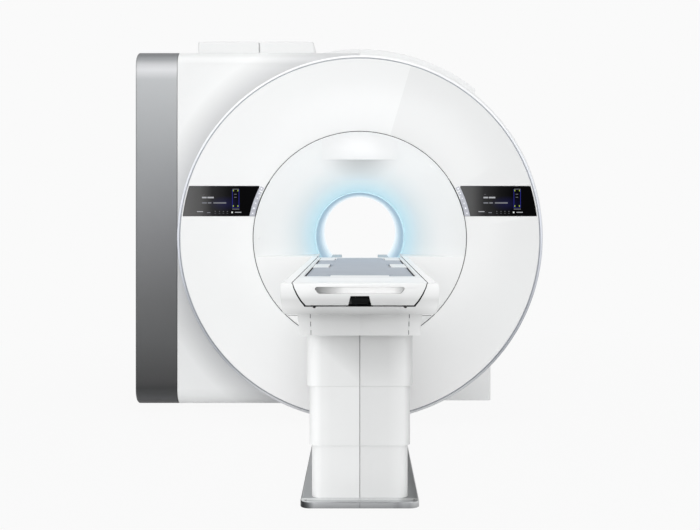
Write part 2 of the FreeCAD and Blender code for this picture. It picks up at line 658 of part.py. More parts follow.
def coils():
    """Gradient coil and the transmit coil with its end rings and rungs."""
    keep("gradient_coil", fuse_ring("gradient_tube", "$bore_radius + 45", "$vessel_inner - 8",
                                    "-$vessel_half + 40", "$vessel_half - 40"))
    inner, outer, half = "$bore_radius + 12", "$bore_radius + 18", "350"
    pieces = [fuse_ring("coil_ring_front", inner, outer, "-" + half, "-%s + 45" % half),
              fuse_ring("coil_ring_rear", inner, outer, "%s - 45" % half, half)]
    rungs = 16
    for number in range(rungs):
        angle = 360 * number / rungs
        rung = doc.addObject("Part::Box", "coil_rung%d" % number)
        bind(rung, Length="4", Width="2 * %s" % half, Height="30")
        turn = Rotation(Vector(0, 1, 0), -angle)
        away = turn.multVec(Vector(size(inner) + 1, -size(half) + size("$magnet_middle"), -15))
        rung.Placement = Placement(away + Vector(0, 0, size(AXIS)), turn)
        pieces.append(rung)
    keep("rf_body_coil", fuse("birdcage", *pieces))


def skid():
    """Floor skid: two rails, cross beams under the isocentre and the ends, four saddles."""
    inner, outer = "$anchor_reach - 80", "$anchor_reach + 80"
    ends = ("$magnet_middle - $anchor_spread - 60", "$magnet_middle + $anchor_spread + 60")
    pieces, holes = [], []
    for name, side in (("left", -1), ("right", 1)):
        span = (inner, outer) if side > 0 else ("-(%s)" % outer, "-(%s)" % inner)
        pieces.append(block("rail_" + name, span, ends, ("0", "$body_bottom")))
        for end, shift in (("front", -1), ("rear", 1)):
            place = "$magnet_middle + %d * 520" % shift
            pieces.append(block("saddle_%s_%s" % (name, end), span, (place + " - 90", place + " + 90"),
                                ("$body_bottom", "%s - 600" % AXIS)))
            holes.append(post("anchor_%s_%s" % (name, end), "13", ("-5", "$body_bottom + 5"),
                              ("%d * $anchor_reach" % side, "$magnet_middle + %d * $anchor_spread" % shift)))
    for name, place in (("middle", "0"), ("front", ends[0] + " + 60"), ("rear", ends[1] + " - 60")):
        pieces.append(block("beam_" + name, ("-(%s)" % inner, inner),
                            ("%s - 60" % place, "%s + 60" % place), ("0", "$body_bottom")))
    seat = drum("saddle_seat", "$vessel_outer + 0.2", ("$gantry_front", "$gantry_rear"))
    keep("magnet_skid", cut("skid_cut", fuse("skid_whole", *pieces), seat, *holes))


# ---------------------------------------------------------------- table base and lift
def base_plate():
    """Floor plate of the table: round corners, bevelled top, a middle seam and four anchor holes."""
    front, thick = "$plate_front", "$plate_thick"
    plate = block("plate_block", ("-$plate_half", "$plate_half"), (front, "$plate_rear"), ("0", thick))
    plate = rounded("plate_round", plate, "$plate_corner", upright_edges)
    plate = bevelled("plate_bevel", plate, "6", lambda edge: abs(middle(edge).z - size(thick)) < 0.01)
    seam = spanned("plate_seam", ("-0.9", "0.9"), [
        (front + " - 2", "-1"), (front + " + 1.5", "-1"), (front + " + 1.5", thick + " - 6.6"),
        (front + " + 6.6", thick + " - 1.5"), ("$lift_front + 1", thick + " - 1.5"),
        ("$lift_front + 1", thick + " + 2"), (front + " - 2", thick + " + 2")])
    holes = [post("plate_hole%d%d" % (across, along), "7", ("-5", "$plate_thick + 5"),
                  ("%d * ($plate_half - 25)" % across,
                   ("$plate_front + 30", "$plate_rear - 60")[along]))
             for across in (-1, 1) for along in (0, 1)]
    keep("base_plate", cut("plate_cut", plate, seam, *holes))


def upright_edges(edge):
    return runs_along(edge, 2)


def sleeve(node, steps, low, high, passage=False):
    """A telescoping cover: a rounded tube with a shallow seam down its front and rear."""
    half, wall = "$sleeve_half + %d * $sleeve_step" % steps, "$sleeve_wall"
    front, rear = "$lift_front - %d * $sleeve_step" % steps, "$lift_rear + %d * $sleeve_step" % steps
    outside = rounded(node + "_outside", block(
        node + "_block", ("-(%s)" % half, half), (front, rear), (low, high)), "$sleeve_corner",
        upright_edges)
    inside = rounded(node + "_inside", block(
        node + "_core", ("-(%s) + %s" % (half, wall), "%s - %s" % (half, wall)),
        ("%s + %s" % (front, wall), "%s - %s" % (rear, wall)), (low + " - 5", high + " + 5")),
        "$sleeve_corner - " + wall, upright_edges)
    tools = [inside]
    for end, (start, stop) in (("front", (front + " - 1", front + " + 2.5")),
                               ("rear", (rear + " - 2.5", rear + " + 1"))):
        tools.append(block("%s_seam_%s" % (node, end), ("-1.5", "1.5"), (start, stop),
                           (low + " - 5", high + " + 5")))
    if passage:
        tools.append(block(node + "_belt_way", ("-$belt_half - 6", "$belt_half + 6"),
                           (front + " - 5", rear + " + 5"), belt_return()))
    keep(node, cut(node + "_tube", outside, *tools))


def belt_return():
    """Upright span that the returning belt needs."""
    return ("$pulley_height - $pulley_radius - 12", "$frame_bottom")


def stage(node, half, low, high, passage=False):
    """One square tube of the lifting column."""
    outside = block(node + "_block", ("-%s" % half, half), ("-2450 + 150 - %s" % half, "-1900 - 150 + %s" % half),
                    (low, high))
    inside = block(node + "_core", ("-%s + 10" % half, "%s - 10" % half),
                   ("-2440 + 150 - %s" % half, "-1910 - 150 + %s" % half), (low + " - 5", high + " + 5"))
    tools = [inside]
    if passage:
        tools.append(block(node + "_belt_way", ("-$belt_half - 6", "$belt_half + 6"),
                           ("-2600", "-1700"), belt_return()))
    keep(node, cut(node + "_tube", outside, *tools))


def lift():
    """Three sleeves over a three-stage column."""
    top = "$frame_bottom - 12"
    sleeve("lower_sleeve", 0, "$plate_thick", "330")
    sleeve("middle_sleeve", 1, "274", "610")
    sleeve("upper_sleeve", 2, "550", top, passage=True)
    stage("lift_stage_lower", "150", "$plate_thick", "322")
    stage("lift_stage_middle", "136", "265", "560")
    stage("lift_ram", "122", "505", top, passage=True)


# ---------------------------------------------------------------- table top
CRADLE_SIDE = [("$cradle_half", "0"), ("$cradle_half - 3.5", "-3"), ("$cradle_half - 9", "-20"),
               ("$cradle_half - 21.5", "-45")]
CAP_SIDE = CRADLE_SIDE + [("$cradle_half - 37", "-69"), ("$cradle_half - 53", "-87")]
TROUGH_GAPS = ("3", "3", "4", "5.5", "7", "7")


def section(side, gaps=("0",) * 6):
    """Corners of one side of the cradle's section, each moved outwards by its gap."""
    return [("%s + %s" % (across, gap), "$table_top + %s" % drop)
            for (across, drop), gap in zip(side, gaps)]


def under_frame():
    """Tapered hollow frame over the lift, with bearing cheeks for the belt pulleys."""
    low, high = "$under_bottom", "$frame_bottom"
    outer = extruded("under_outside", ("$under_front", "$under_rear"), [
        ("-270", high), ("-253.5", low), ("253.5", low), ("270", high)])
    inner = extruded("under_inside", ("$under_front + 5", "$under_rear - 5"), [
        ("-263.5", high + " - 12"), ("-248", low + " - 5"), ("248", low + " - 5"),
        ("263.5", high + " - 12")])
    shell = cut("under_shell", outer, inner)
    cheeks, tools = [], []
    for name, place in (("idler", "$idler_place"), ("drive", "$drive_place")):
        for side, span in (("left", ("-$belt_half - 21", "-$belt_half - 5")),
                           ("right", ("$belt_half + 5", "$belt_half + 21"))):
            cheeks.append(block("cheek_%s_%s" % (name, side), span, (place + " - 22", place + " + 22"),
                                ("$pulley_height - 22", high + " - 12")))
        tools.append(spindle("bearing_" + name, "$shaft_radius + $shaft_gap", ("-60", "60"),
                             (place, "$pulley_height")))
        tools.append(block("pulley_way_" + name, ("-$belt_half - 4", "$belt_half + 4"),
                           (place + " - 51", place + " + 51"), (high + " - 20", high + " + 5")))
    for side, span in (("left", ("-215", "-213")), ("right", ("213", "215"))):
        tools.append(block("under_seam_" + side, span, ("$under_front - 1", "$under_front + 1.5"),
                           (low + " - 1", high + " + 1")))
    keep("under_frame", cut("under_cut", fuse("under_whole", shell, *cheeks), *tools))


def table_frame():
    """Long moulded frame: bulged sides, a trough with two guide channels and a way for the belt."""
    top, bottom = "$table_top", "$frame_bottom"
    outside = [("$frame_half - 2", top), ("$frame_half + 6", top + " - 8"),
               ("$frame_half + 9", top + " - 30"), ("$frame_half + 4", top + " - 75"),
               ("$frame_half - 2", bottom + " + 9"), ("$frame_half - 10", bottom)]
    trough = section(CAP_SIDE, TROUGH_GAPS)
    trough[-1] = ("$cradle_half - 48", "$trough_floor")
    right = list(reversed(trough)) + outside
    body = extruded("frame_body", ("$table_front", "$frame_rear"), mirrored_loop(right))
    soften(body, "3", lambda edge: runs_along(edge, 1)
           and abs(abs(middle(edge).x) - size("$frame_half - 2")) < 0.01
           and middle(edge).z > size(top) - 1)
    way = block("belt_slot", ("-$belt_half - 4", "$belt_half + 4"),
                ("$idler_place - 60", "$drive_place + 60"), (bottom + " - 5", "$trough_floor + 5"))
    guides = [drum("guide_" + name, "6", ("$table_front - 5", "$frame_rear + 5"),
                   (place, "$trough_floor"))
              for name, place in (("left", "-$guide_place"), ("right", "$guide_place"))]
    keep("table_frame", cut("frame_cut", body, way, *guides))


def belt_drive():
    """Toothless flat belt, its two pulleys and the drive motor with its gearbox."""
    radius, height = "$pulley_radius", "$pulley_height"
    half, reach = "$belt_half", ("$idler_place", "$drive_place")
    loops = []
    for name, grow, wide in (("outside", "$running_gap + 2.2", half), ("inside", "$running_gap", half + " + 1")):
        round_radius = "%s + %s" % (radius, grow)
        span = ("-(%s)" % wide, wide)
        loops.append(fuse("belt_" + name,
                          spindle("belt_idler_" + name, round_radius, span, (reach[0], height)),
                          spindle("belt_drive_" + name, round_radius, span, (reach[1], height)),
                          block("belt_runs_" + name, span, reach,
                                ("%s - (%s)" % (height, round_radius), "%s + %s" % (height, round_radius)))))
    keep("cradle_belt", cut("belt_loop", *loops))

    for node, place, right_end in (("idler_pulley", "$idler_place", "$belt_half + 21"),
                                   ("drive_pulley", "$drive_place", "$belt_half + 40")):
        wheel = spindle(node + "_wheel", radius, ("-%s - 1" % half, half + " + 1"), (place, height))
        shaft = spindle(node + "_shaft", "$shaft_radius", ("-%s - 21" % half, right_end), (place, height))
        keep(node, fuse(node + "_solid", wheel, shaft))

    gearbox = block("gearbox", ("$belt_half + 24", "$belt_half + 80"), ("$drive_place - 45", "$drive_place + 45"),
                    (height + " - 60", "$frame_bottom - 12"))
    shaft_hole = spindle("gearbox_bore", "$shaft_radius + $shaft_gap", ("$belt_half", "$belt_half + 45"),
                         ("$drive_place", height))
    motor = drum("motor", "38", ("$drive_place - 190", "$drive_place - 45"),
                 ("$belt_half + 52", height + " - 34"))
    keep("drive_motor", cut("drive_motor_cut", fuse("drive_motor_whole", gearbox, motor), shaft_hole))


def pad_outline(name, spare, low, high):
    """The pad's outline with its notches, grown by a gap, between two heights."""
    foot, head, half = "$cap_rear + 119", "$board_rear - 81", "$pad_half + " + spare
    whole = block(name + "_whole", ("-(%s)" % half, half),
                  ("%s - %s" % (foot, spare), "%s + %s" % (head, spare)), (low, high))
    through = (low + " - 5", high + " + 5")
    notches = [block(name + "_foot", ("-132 + " + spare, "132 - " + spare),
                     (foot + " - 9", "%s + 69 - %s" % (foot, spare)), through)]
    for part, inner, start, end in (("head", "145 + " + spare, "$board_rear - 359 + " + spare, head + " + 9"),
                                    ("grip", "155 + " + spare, "-2383 + " + spare, "-2062 - " + spare)):
        notches.append(block("%s_%s_left" % (name, part), ("-(%s) - 9" % half, "-(%s)" % inner),
                             (start, end), through))
        notches.append(block("%s_%s_right" % (name, part), (inner, "%s + 9" % half),
                             (start, end), through))
    return cut(name, whole, *notches)


def cradle_board():
    """Board with the pad's recess and two accessory grooves, on two runners, and the belt's clamp."""
    top = "$table_top"
    board = extruded("board_slab", ("$cap_rear + 1", "$board_rear"), mirrored_loop(
        list(reversed(section(CRADLE_SIDE)))))
    runners = [block("runner_" + name, span, ("$cap_rear + 1", "$board_rear - 40"),
                     ("$trough_floor + 1", top + " - 40"))
               for name, span in (("left", ("-140", "-110")), ("right", ("110", "140")))]
    clamp = block("belt_clamp", ("-12", "12"), ("$idler_place + 40", "$idler_place + 90"),
                  ("$pulley_height + $pulley_radius + 2 * $running_gap + 2.2", top + " - 40"))
    grooves = [block("accessory_groove_" + name, span, ("-3050", "-1560"), (top + " - 4", top + " + 1"))
               for name, span in (("left", ("-247.5", "-244.5")), ("right", ("244.5", "247.5")))]
    recess = pad_outline("pad_recess", "$pad_gap", top + " - $pad_thick", top + " + 5")
    keep("cradle_board", cut("board_cut", fuse("board_whole", board, *runners, clamp), recess, *grooves))
    keep("pad", pad_outline("pad_cut", "0", top + " - $pad_thick", top))


def end_cap():
    """End cap of the cradle with its pull slot, and the release paddle in the notch below."""
    top = "$table_top"
    cap = extruded("cap_block", ("$table_front", "$cap_rear"), mirrored_loop(
        list(reversed(section(CAP_SIDE)))))
    high, low, half = top + " - 15.6", top + " - 41.6", "$slot_half"
    slot = extruded("cap_slot", ("$table_front - 5", "$table_front + 38"), [
        ("-" + half, high), (half, high), (half + " - 22", low), ("22 - " + half, low)])
    slot = rounded("cap_slot_round", slot, "8", lambda edge: runs_along(edge, 1))
    notch = extruded("cap_notch", ("$table_front - 5", "$table_front + 60"), [
        ("-$notch_half - 10", top + " - 90"), ("$notch_half + 10", top + " - 90"),
        ("$notch_half", top + " - 51"), ("-$notch_half", top + " - 51")])
    pin_place = ("$table_front + 16", top + " - 60")
    pin_hole = spindle("paddle_pin_hole", "4 + $shaft_gap", ("-$notch_half - 14", "$notch_half + 14"),
                       pin_place)
    keep("end_cap", cut("cap_cut", cap, slot, notch, pin_hole))

    plate = block("paddle_plate", ("-$notch_half + 4", "$notch_half - 4"),
                  ("$table_front + 10", "$table_front + 16"), (top + " - 83", top + " - 58"))
    rib = block("paddle_rib", ("-$notch_half + 10", "$notch_half - 10"),
                ("$table_front + 4", "$table_front + 12"), (top + " - 83", top + " - 76"))
    pin = spindle("paddle_pin", "4", ("-$notch_half - 13", "$notch_half + 13"), pin_place)
    keep("release_paddle", fuse("paddle_whole", plate, rib, pin))


# ---------------------------------------------------------------- build, check and write
for make in (front_ring, rims, body_covers, top_covers, funnel, deck, bore, displays, magnet, coils,
             skid, base_plate, lift, under_frame, table_frame, belt_drive, cradle_board, end_cap):
    make()
doc.recompute()

for thing in doc.Objects:
    if {"Invalid", "Error"} & set(thing.State):
        raise RuntimeError("%s (%s) did not recompute: %s" % (thing.Name, thing.Label, thing.State))
os.makedirs("parts", exist_ok=True)
facets = 0
for node, thing in nodes.items():
    shape = thing.Shape
    if shape.isNull() or not shape.isValid() or not shape.Solids:
        raise RuntimeError("%s has no valid solid" % node)
    shape.exportStep("parts/%s.step" % node)
    facets += len(shape.tessellate(1.0)[1])
    span = shape.BoundBox
    print("%-20s solids %d  x %7.1f %7.1f  y %7.1f %7.1f  z %7.1f %7.1f" % (
        node, len(shape.Solids), span.XMin, span.XMax, span.YMin, span.YMax, span.ZMin, span.ZMax))
print("%d sub-parts, about %d facets" % (len(nodes), facets))
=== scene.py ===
"""Looks of a whole-body MRI scanner and its patient table, laid out as an add-on."""

import functools
import json
import math

import bmesh
import bpy
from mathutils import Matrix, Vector
from mathutils.bvhtree import BVHTree


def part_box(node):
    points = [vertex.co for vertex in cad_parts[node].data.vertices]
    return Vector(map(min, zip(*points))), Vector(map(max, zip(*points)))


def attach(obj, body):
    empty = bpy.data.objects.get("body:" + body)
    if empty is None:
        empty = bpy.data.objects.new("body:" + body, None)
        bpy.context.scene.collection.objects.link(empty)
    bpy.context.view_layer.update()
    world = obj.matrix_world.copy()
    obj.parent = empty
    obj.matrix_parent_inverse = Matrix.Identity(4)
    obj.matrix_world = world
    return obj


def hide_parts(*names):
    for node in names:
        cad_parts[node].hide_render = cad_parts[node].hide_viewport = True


bl_info = {
    "name": "MRI scanner looks",
    "version": (1, 0, 0),
    "blender": (4, 5, 0),
    "location": "View3D > Sidebar > Scanner",
    "description": "Finishes, soft parts, lights and camera for the scanner",
    "category": "Object",
}

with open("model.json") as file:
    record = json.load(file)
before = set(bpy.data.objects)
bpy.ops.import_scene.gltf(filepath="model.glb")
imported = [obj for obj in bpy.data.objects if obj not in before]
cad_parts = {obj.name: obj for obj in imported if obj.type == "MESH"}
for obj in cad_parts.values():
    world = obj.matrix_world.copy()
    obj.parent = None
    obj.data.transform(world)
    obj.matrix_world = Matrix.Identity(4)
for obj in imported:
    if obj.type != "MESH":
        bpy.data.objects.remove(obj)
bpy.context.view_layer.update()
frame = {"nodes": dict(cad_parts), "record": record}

# ------------------------------------------------ places and sizes in metres, some from the frame
MM = 0.001
BORE_AXIS = 1.190
GANTRY_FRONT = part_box("front_ring_cover")[0].y
BORE_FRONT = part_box("bore_liner")[0].y - 0.020
BORE_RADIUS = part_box("bore_liner")[1].x - 0.006
TABLE_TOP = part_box("cradle_board")[1].z
TABLE_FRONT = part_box("end_cap")[0].y
PHOTO_WIDTH, PHOTO_HEIGHT = 700, 530
VANISHING_POINT = (359.8, 215.0)
CAMERA_PLACE = (0.0, -7.300, 1.337)
FUNNEL_MOUTH, FUNNEL_NECK, FUNNEL_SAG = 0.678, BORE_RADIUS + 0.008, 0.248
SEAM_RADIUS, SEAM_GAP = 0.681, 0.002
CAP_RADIUS = 0.644  # of the screw caps, from the bore axis
VISOR_HEIGHT, VISOR_DEPTH = 0.506, 0.053
STOP_TOP = 1.016  # of the two guide blocks on the bore bridge
RING_SHADE_ANGLE = 16.5  # degrees right of the top, where the ring's painted shade begins
SCREEN_START = {"left": -1.0055, "right": 0.788}  # left end of the picture's longest line
SCREEN_MIDDLE = 1.410
SCREEN_ROW = 1.2 * MM
RING_DEPTH, RING_WALL = 0.040, 0.012
RING_HEIGHTS = (0.05, 2.35)  # over which the ring's and the rim's finish change
RIGHT_RING_SHADE = 0.93  # painted shade: share of the white that the ring keeps right of its shade line
WINDOW_RADIUS, WINDOW_START = 1.137, 0.640  # round outer side of a display's opening, straight inner side
WINDOW_FLOOR, WINDOW_CHAMFER = BORE_AXIS + 0.1406, 1.2 * MM
# front and back of the black strips of painted shade in the seams round the funnel
SHADE_FRONT, SHADE_BACK = GANTRY_FRONT + 0.004, GANTRY_FRONT + 0.012
VISOR_HALF, VISOR_TALL = 0.247, 0.150
VISOR_SHADE = (0.31, 0, 0.16)  # reach of the painted shade below the visor's edge
CAP_LEAN = (0.62, 0.785)  # of a screw cap, towards the bore axis and to the front
KEY_SEAM_STARTS, KEY_SEAM_ARC = (("left", 148.0), ("right", 12.4)), 19.6  # degrees from the right
SHARP_MM = 0.05  # rounding of a strip that lies in a gap
LINER_GLOW = 0.38  # painted light: strength of the liner's emission, for light that the ring throws into the bore
GLASS_SHIFT = {"left": 0.11, "right": 0.17}  # of the graphite shade, left of the picture
GLOW_ACROSS, GLOW_REACH = 0.145, (0.105, 0, 0.05)  # dim glow behind the picture
STOP_ACROSS, STOP_HALF = 0.150, 0.019  # of the guide blocks, from the middle
GROOVE_HALF, GROOVE_LENGTH = 0.023, 1.05  # of the grooves for them under the cradle board
PULL_SLOT, LEVER_NOTCH = (0.010, 0.175), (0.0485, 0.052)  # drop below the table top, half width
SLOT_REACH = 0.008  # added to each end of the pull slot
FRAME_SIDE, FRAME_SLANT = 0.22, 0.0085
FRAME_SLITS = ((0.2165, 0.886, 0.912), (0.2150, 0.850, 0.871), (0.2135, 0.814, 0.833))  # X, low, high
TROUGH_HALF = 0.263  # half the width between the table's walls
PAD_GAP = 0.2382  # of the gap beside the pad, from the middle
WEAVE_SCALE = 1000 / 3.0 / 6.2832 * 2
PAD_VOXEL, PAD_PRESSURE, CLOTH_FRAMES = 6 * MM, 4.0, 20
STUD_TAPER, STITCH_STRETCH = 0.84, 3.6
SEEN_WHITE = "#fafafa"  # of the floor and the world where they are seen


# ---------------------------------------------------------------- node helpers
def linear(hex_colour):
    """An sRGB hex colour as linear RGBA."""
    channels = [int(hex_colour[i:i + 2], 16) / 255 for i in (1, 3, 5)]
    turned = [c / 12.92 if c <= 0.04045 else ((c + 0.055) / 1.055) ** 2.4 for c in channels]
    return (*turned, 1.0)


def add(tree, kind, settings=(), inputs=()):
    """Add a node; settings are attributes, and inputs are values or the sockets to link."""
    node = tree.nodes.new(kind)
    for name, value in dict(settings).items():
        setattr(node, name, value)
    for name, value in dict(inputs).items():
        if isinstance(value, bpy.types.NodeSocket):
            tree.links.new(value, node.inputs[name])
        else:
            node.inputs[name].default_value = value
    return node


def calc(tree, operation, *terms):
    """Result of one operation on numbers or sockets."""
    made = add(tree, "ShaderNodeMath", {"operation": operation}, enumerate(terms))
    return made.outputs["Value"]


def product(tree, *terms):
    """All the sockets multiplied together."""
    return functools.reduce(lambda one, other: calc(tree, "MULTIPLY", one, other), terms)


def remap(tree, value, near, far, start=0.0, end=1.0, kind="LINEAR"):
    """Start where value is near and end where it is far, held beyond both."""
    made = add(tree, "ShaderNodeMapRange", {"interpolation_type": kind}, {
        "Value": value, "From Min": near, "From Max": far, "To Min": start, "To Max": end})
    return made.outputs["Result"]


def object_place(tree):
    return add(tree, "ShaderNodeTexCoord").outputs["Object"]


def axis(tree, name):
    """One of the X, Y and Z of the object coordinates."""
    return add(tree, "ShaderNodeSeparateXYZ", (), {"Vector": object_place(tree)}).outputs[name]


def distance(tree, centre, reach):
    """Distance from a point, each axis in its own reach; a reach of 0 leaves the axis out."""
    scale = [1 / part if part else 0 for part in reach]
    location = [-middle * grow for middle, grow in zip(centre, scale)]
    moved = add(tree, "ShaderNodeMapping", (), {
        "Vector": object_place(tree), "Location": location, "Scale": scale})
    length = add(tree, "ShaderNodeVectorMath", {"operation": "LENGTH"}, {0: moved.outputs["Vector"]})
    return length.outputs["Value"]


def height_share(tree, low, high):
    """0 at height low and 1 at height high, in metres."""
    return remap(tree, axis(tree, "Z"), low, high)


def bore_distance(tree, near, far):
    """0 at radius near from the bore axis and 1 at radius far, in metres."""
    return remap(tree, distance(tree, (0, 0, BORE_AXIS), (1, 0, 1)), near, far)


def scaled(tree, colour, factor):
    """A colour socket times a factor socket."""
    made = add(tree, "ShaderNodeVectorMath", {"operation": "SCALE"}, {0: colour, "Scale": factor})
    return made.outputs["Vector"]


def mixed(tree, share, first, second):
    """Colour between two, each a hex colour or a socket."""
    first, second = (linear(colour) if isinstance(colour, str) else colour for colour in (first, second))
    return add(tree, "ShaderNodeMix", {"data_type": "RGBA"}, {0: share, 6: first, 7: second}).outputs[2]


def ramp(tree, factor, stops, *scales):
    """Colour of a ramp over a factor socket, times any scale sockets."""
    node = add(tree, "ShaderNodeValToRGB", (), {"Fac": factor})
    elements = node.color_ramp.elements
    while len(elements) < len(stops):
        elements.new(0.5)
    for element, (position, colour) in zip(elements, stops):
        element.position = position
        element.color = linear(colour)
    return functools.reduce(lambda colour, scale: scaled(tree, colour, scale), scales, node.outputs["Color"])


def tint(tree, surface, factor, stops, *scales):
    """The same as base colour."""
    tree.links.new(ramp(tree, factor, stops, *scales), surface.inputs["Base Color"])


# ---------------------------------------------------------------- materials
def material(name, colour, roughness, metallic=0.0, **shader):
    """A Principled material; shader holds more of its own sockets."""
    made = bpy.data.materials.new(name)
    made.use_nodes = True
    surface = made.node_tree.nodes["Principled BSDF"]
    own = {"Base_Color": linear(colour), "Roughness": roughness, "Metallic": metallic, **shader}
    for socket, value in own.items():
        surface.inputs[socket.replace("_", " ")].default_value = value
    return made, made.node_tree, surface


def grain(tree, surface, size_mm, strength, depth_mm=0.1, stretch=(1, 1, 1), detail=3.0):
    """Fine noise as bump; size_mm is the width of one grain."""
    place = add(tree, "ShaderNodeMapping", (), {"Scale": stretch, "Vector": object_place(tree)})
    noise = add(tree, "ShaderNodeTexNoise", (), {
        "Scale": 1000 / size_mm, "Detail": detail, "Vector": place.outputs["Vector"]}).outputs["Fac"]
    bump = add(tree, "ShaderNodeBump", (), {"Strength": strength, "Distance": depth_mm * MM, "Height": noise})
    tree.links.new(bump.outputs["Normal"], surface.inputs["Normal"])
    return noise


def plain(name, colour, roughness, metallic, *grains, **shader):
    """A finish of one colour; grains are size in mm, strength, depth in mm and stretch."""
    made, tree, surface = material(name, colour, roughness, metallic, **shader)
    grain(tree, surface, *grains)
    return made


def moulded_white(name, colour, roughness=0.34):
    """Vacuum-formed ABS: a clean gloss with a barely rippled reflection."""
    made, tree, surface = material(name, colour, roughness, Coat_Weight=0.15, Coat_Roughness=0.15)
    grain(tree, surface, size_mm=60, strength=0.10, depth_mm=0.4, detail=1.0)
    return made, tree, surface


def painted(name, colour, depth_mm=0.06, size_mm=3, strength=0.18, roughness=0.46):
    """Satin paint on sheet, with a fine orange-peel grain."""
    made, tree, surface = material(name, colour, roughness)
    return made, tree, surface, grain(tree, surface, size_mm, strength, depth_mm)


def gloss_cover():
    """White gloss ABS of the covers, with painted shade that makes them greyer towards the top."""
    made, tree, surface = moulded_white("white_gloss_abs", "#f0f1f1")
    tint(tree, surface, height_share(tree, 0.0, 2.5), [(0.0, "#f4f5f5"), (0.5, "#eff0f0"), (0.9, "#dddede")])
    return made


def cabinet_finish():
    """White gloss ABS of the side cabinet, with painted shade that makes it greyer near the ring and painted
    light that makes it lighter towards the bottom.
    """
    made, tree, surface = moulded_white("white_cabinet_abs", "#eeefef")
    tint(tree, surface, bore_distance(tree, 1.20, 1.62),
         [(0.0, "#bbbcbd"), (0.17, "#cacbcc"), (0.34, "#d9dada"), (0.5, "#e4e5e5"), (0.75, "#e0e1e1"),
          (1.0, "#dedfdf")], remap(tree, axis(tree, "Z"), 0.1, 0.6, 1.22, 1.0))
    return made


def ring_finish():
    """White gloss ABS of the front ring, with painted shade: greyer towards the top, and a little darker
    right of a line just right of the top, as shade on a panel there that is tilted slightly from the light.
    """
    made, tree, surface = moulded_white("white_ring_abs", "#f3f4f4")
    above = calc(tree, "SUBTRACT", axis(tree, "Z"), BORE_AXIS)
    shade_line = calc(tree, "MULTIPLY", above, math.tan(math.radians(RING_SHADE_ANGLE)))
    right = calc(tree, "GREATER_THAN", axis(tree, "X"), shade_line)
    tint(tree, surface, height_share(tree, *RING_HEIGHTS),
         [(0.0, "#f7f7f7"), (0.25, "#eff0f0"), (0.5, "#e5e6e6"), (1.0, "#dfe0e0")],
         remap(tree, right, 0.0, 1.0, 1.0, RIGHT_RING_SHADE))
    return made


def deck_finish(name, left, middle, right):
    """White ABS of the docking deck and of the panel under it, with painted shade that makes it a little
    greyer on the right.
    """
    made, tree, surface = moulded_white(name, middle)
    tint(tree, surface, remap(tree, axis(tree, "X"), -0.5, 0.5), [(0.0, left), (0.4, middle), (0.75, right)])
    return made


def shaded_by_height(tree, low, high, middle, side, near, far, part, lean=0.0):
    """Painted shade by height, in the middle and at the sides; part scales the right, lean lifts the left."""
    across = axis(tree, "X")
    height = calc(tree, "MULTIPLY_ADD", calc(tree, "MINIMUM", across, 0.0), lean, axis(tree, "Z"))
    share = remap(tree, height, low, high)
    aside = remap(tree, calc(tree, "ABSOLUTE", across), near, far)
    both = mixed(tree, aside, ramp(tree, share, middle), ramp(tree, share, side))
    right = calc(tree, "GREATER_THAN", across, 0.0)
    return scaled(tree, both, remap(tree, right, 0.0, 1.0, 1.0, remap(tree, share, 0.0, 1.0, *part)))


def sleeve_paint():
    """Painted sheet of the lift's sleeves, greyer in the shade below the table."""
    made, tree, surface, noise = painted("white_sleeve_paint", "#eff0f1")
    paint = shaded_by_height(tree, 0.56, 0.80,
                             [(0.0, "#e4e5e5"), (0.12, "#dedfdf"), (0.41, "#d2d3d3"), (0.75, "#c8c9c9"),
                              (1.0, "#bebfbf")],
                             [(0.0, "#f0f1f1"), (0.3, "#eeefef"), (0.75, "#dfe0e0"), (1.0, "#d6d7d7")],
                             0.13, 0.235, (0.91, 1.08), 0.9)
    # painted light towards the bottom and at the left edge, and painted shade at the right edge
    for name, *ends in (("Z", 0.15, 0.50, 1.05, 1.0), ("X", -0.200, -0.175, 1.10, 1.0),
                        ("X", 0.205, 0.235, 1.0, 0.80)):
        paint = scaled(tree, paint, remap(tree, axis(tree, name), *ends))
    tree.links.new(paint, surface.inputs["Base Color"])
    return made


def under_frame_paint():
    """Painted sheet under the table, in the table's shade."""
    made, tree, surface, noise = painted("white_frame_paint", "#d0d1d1")
    tree.links.new(shaded_by_height(
        tree, 0.81, 0.95, [(0.0, "#d3d4d4"), (0.4, "#cfd0d0"), (0.65, "#bfc0c0"), (1.0, "#b4b5b5")],
        [(0.0, "#e0e1e1"), (0.4, "#dcdddd"), (0.65, "#d0d1d1"), (1.0, "#c6c7c7")], 0.17, 0.26, (0.98, 0.95)),
        surface.inputs["Base Color"])
    return made


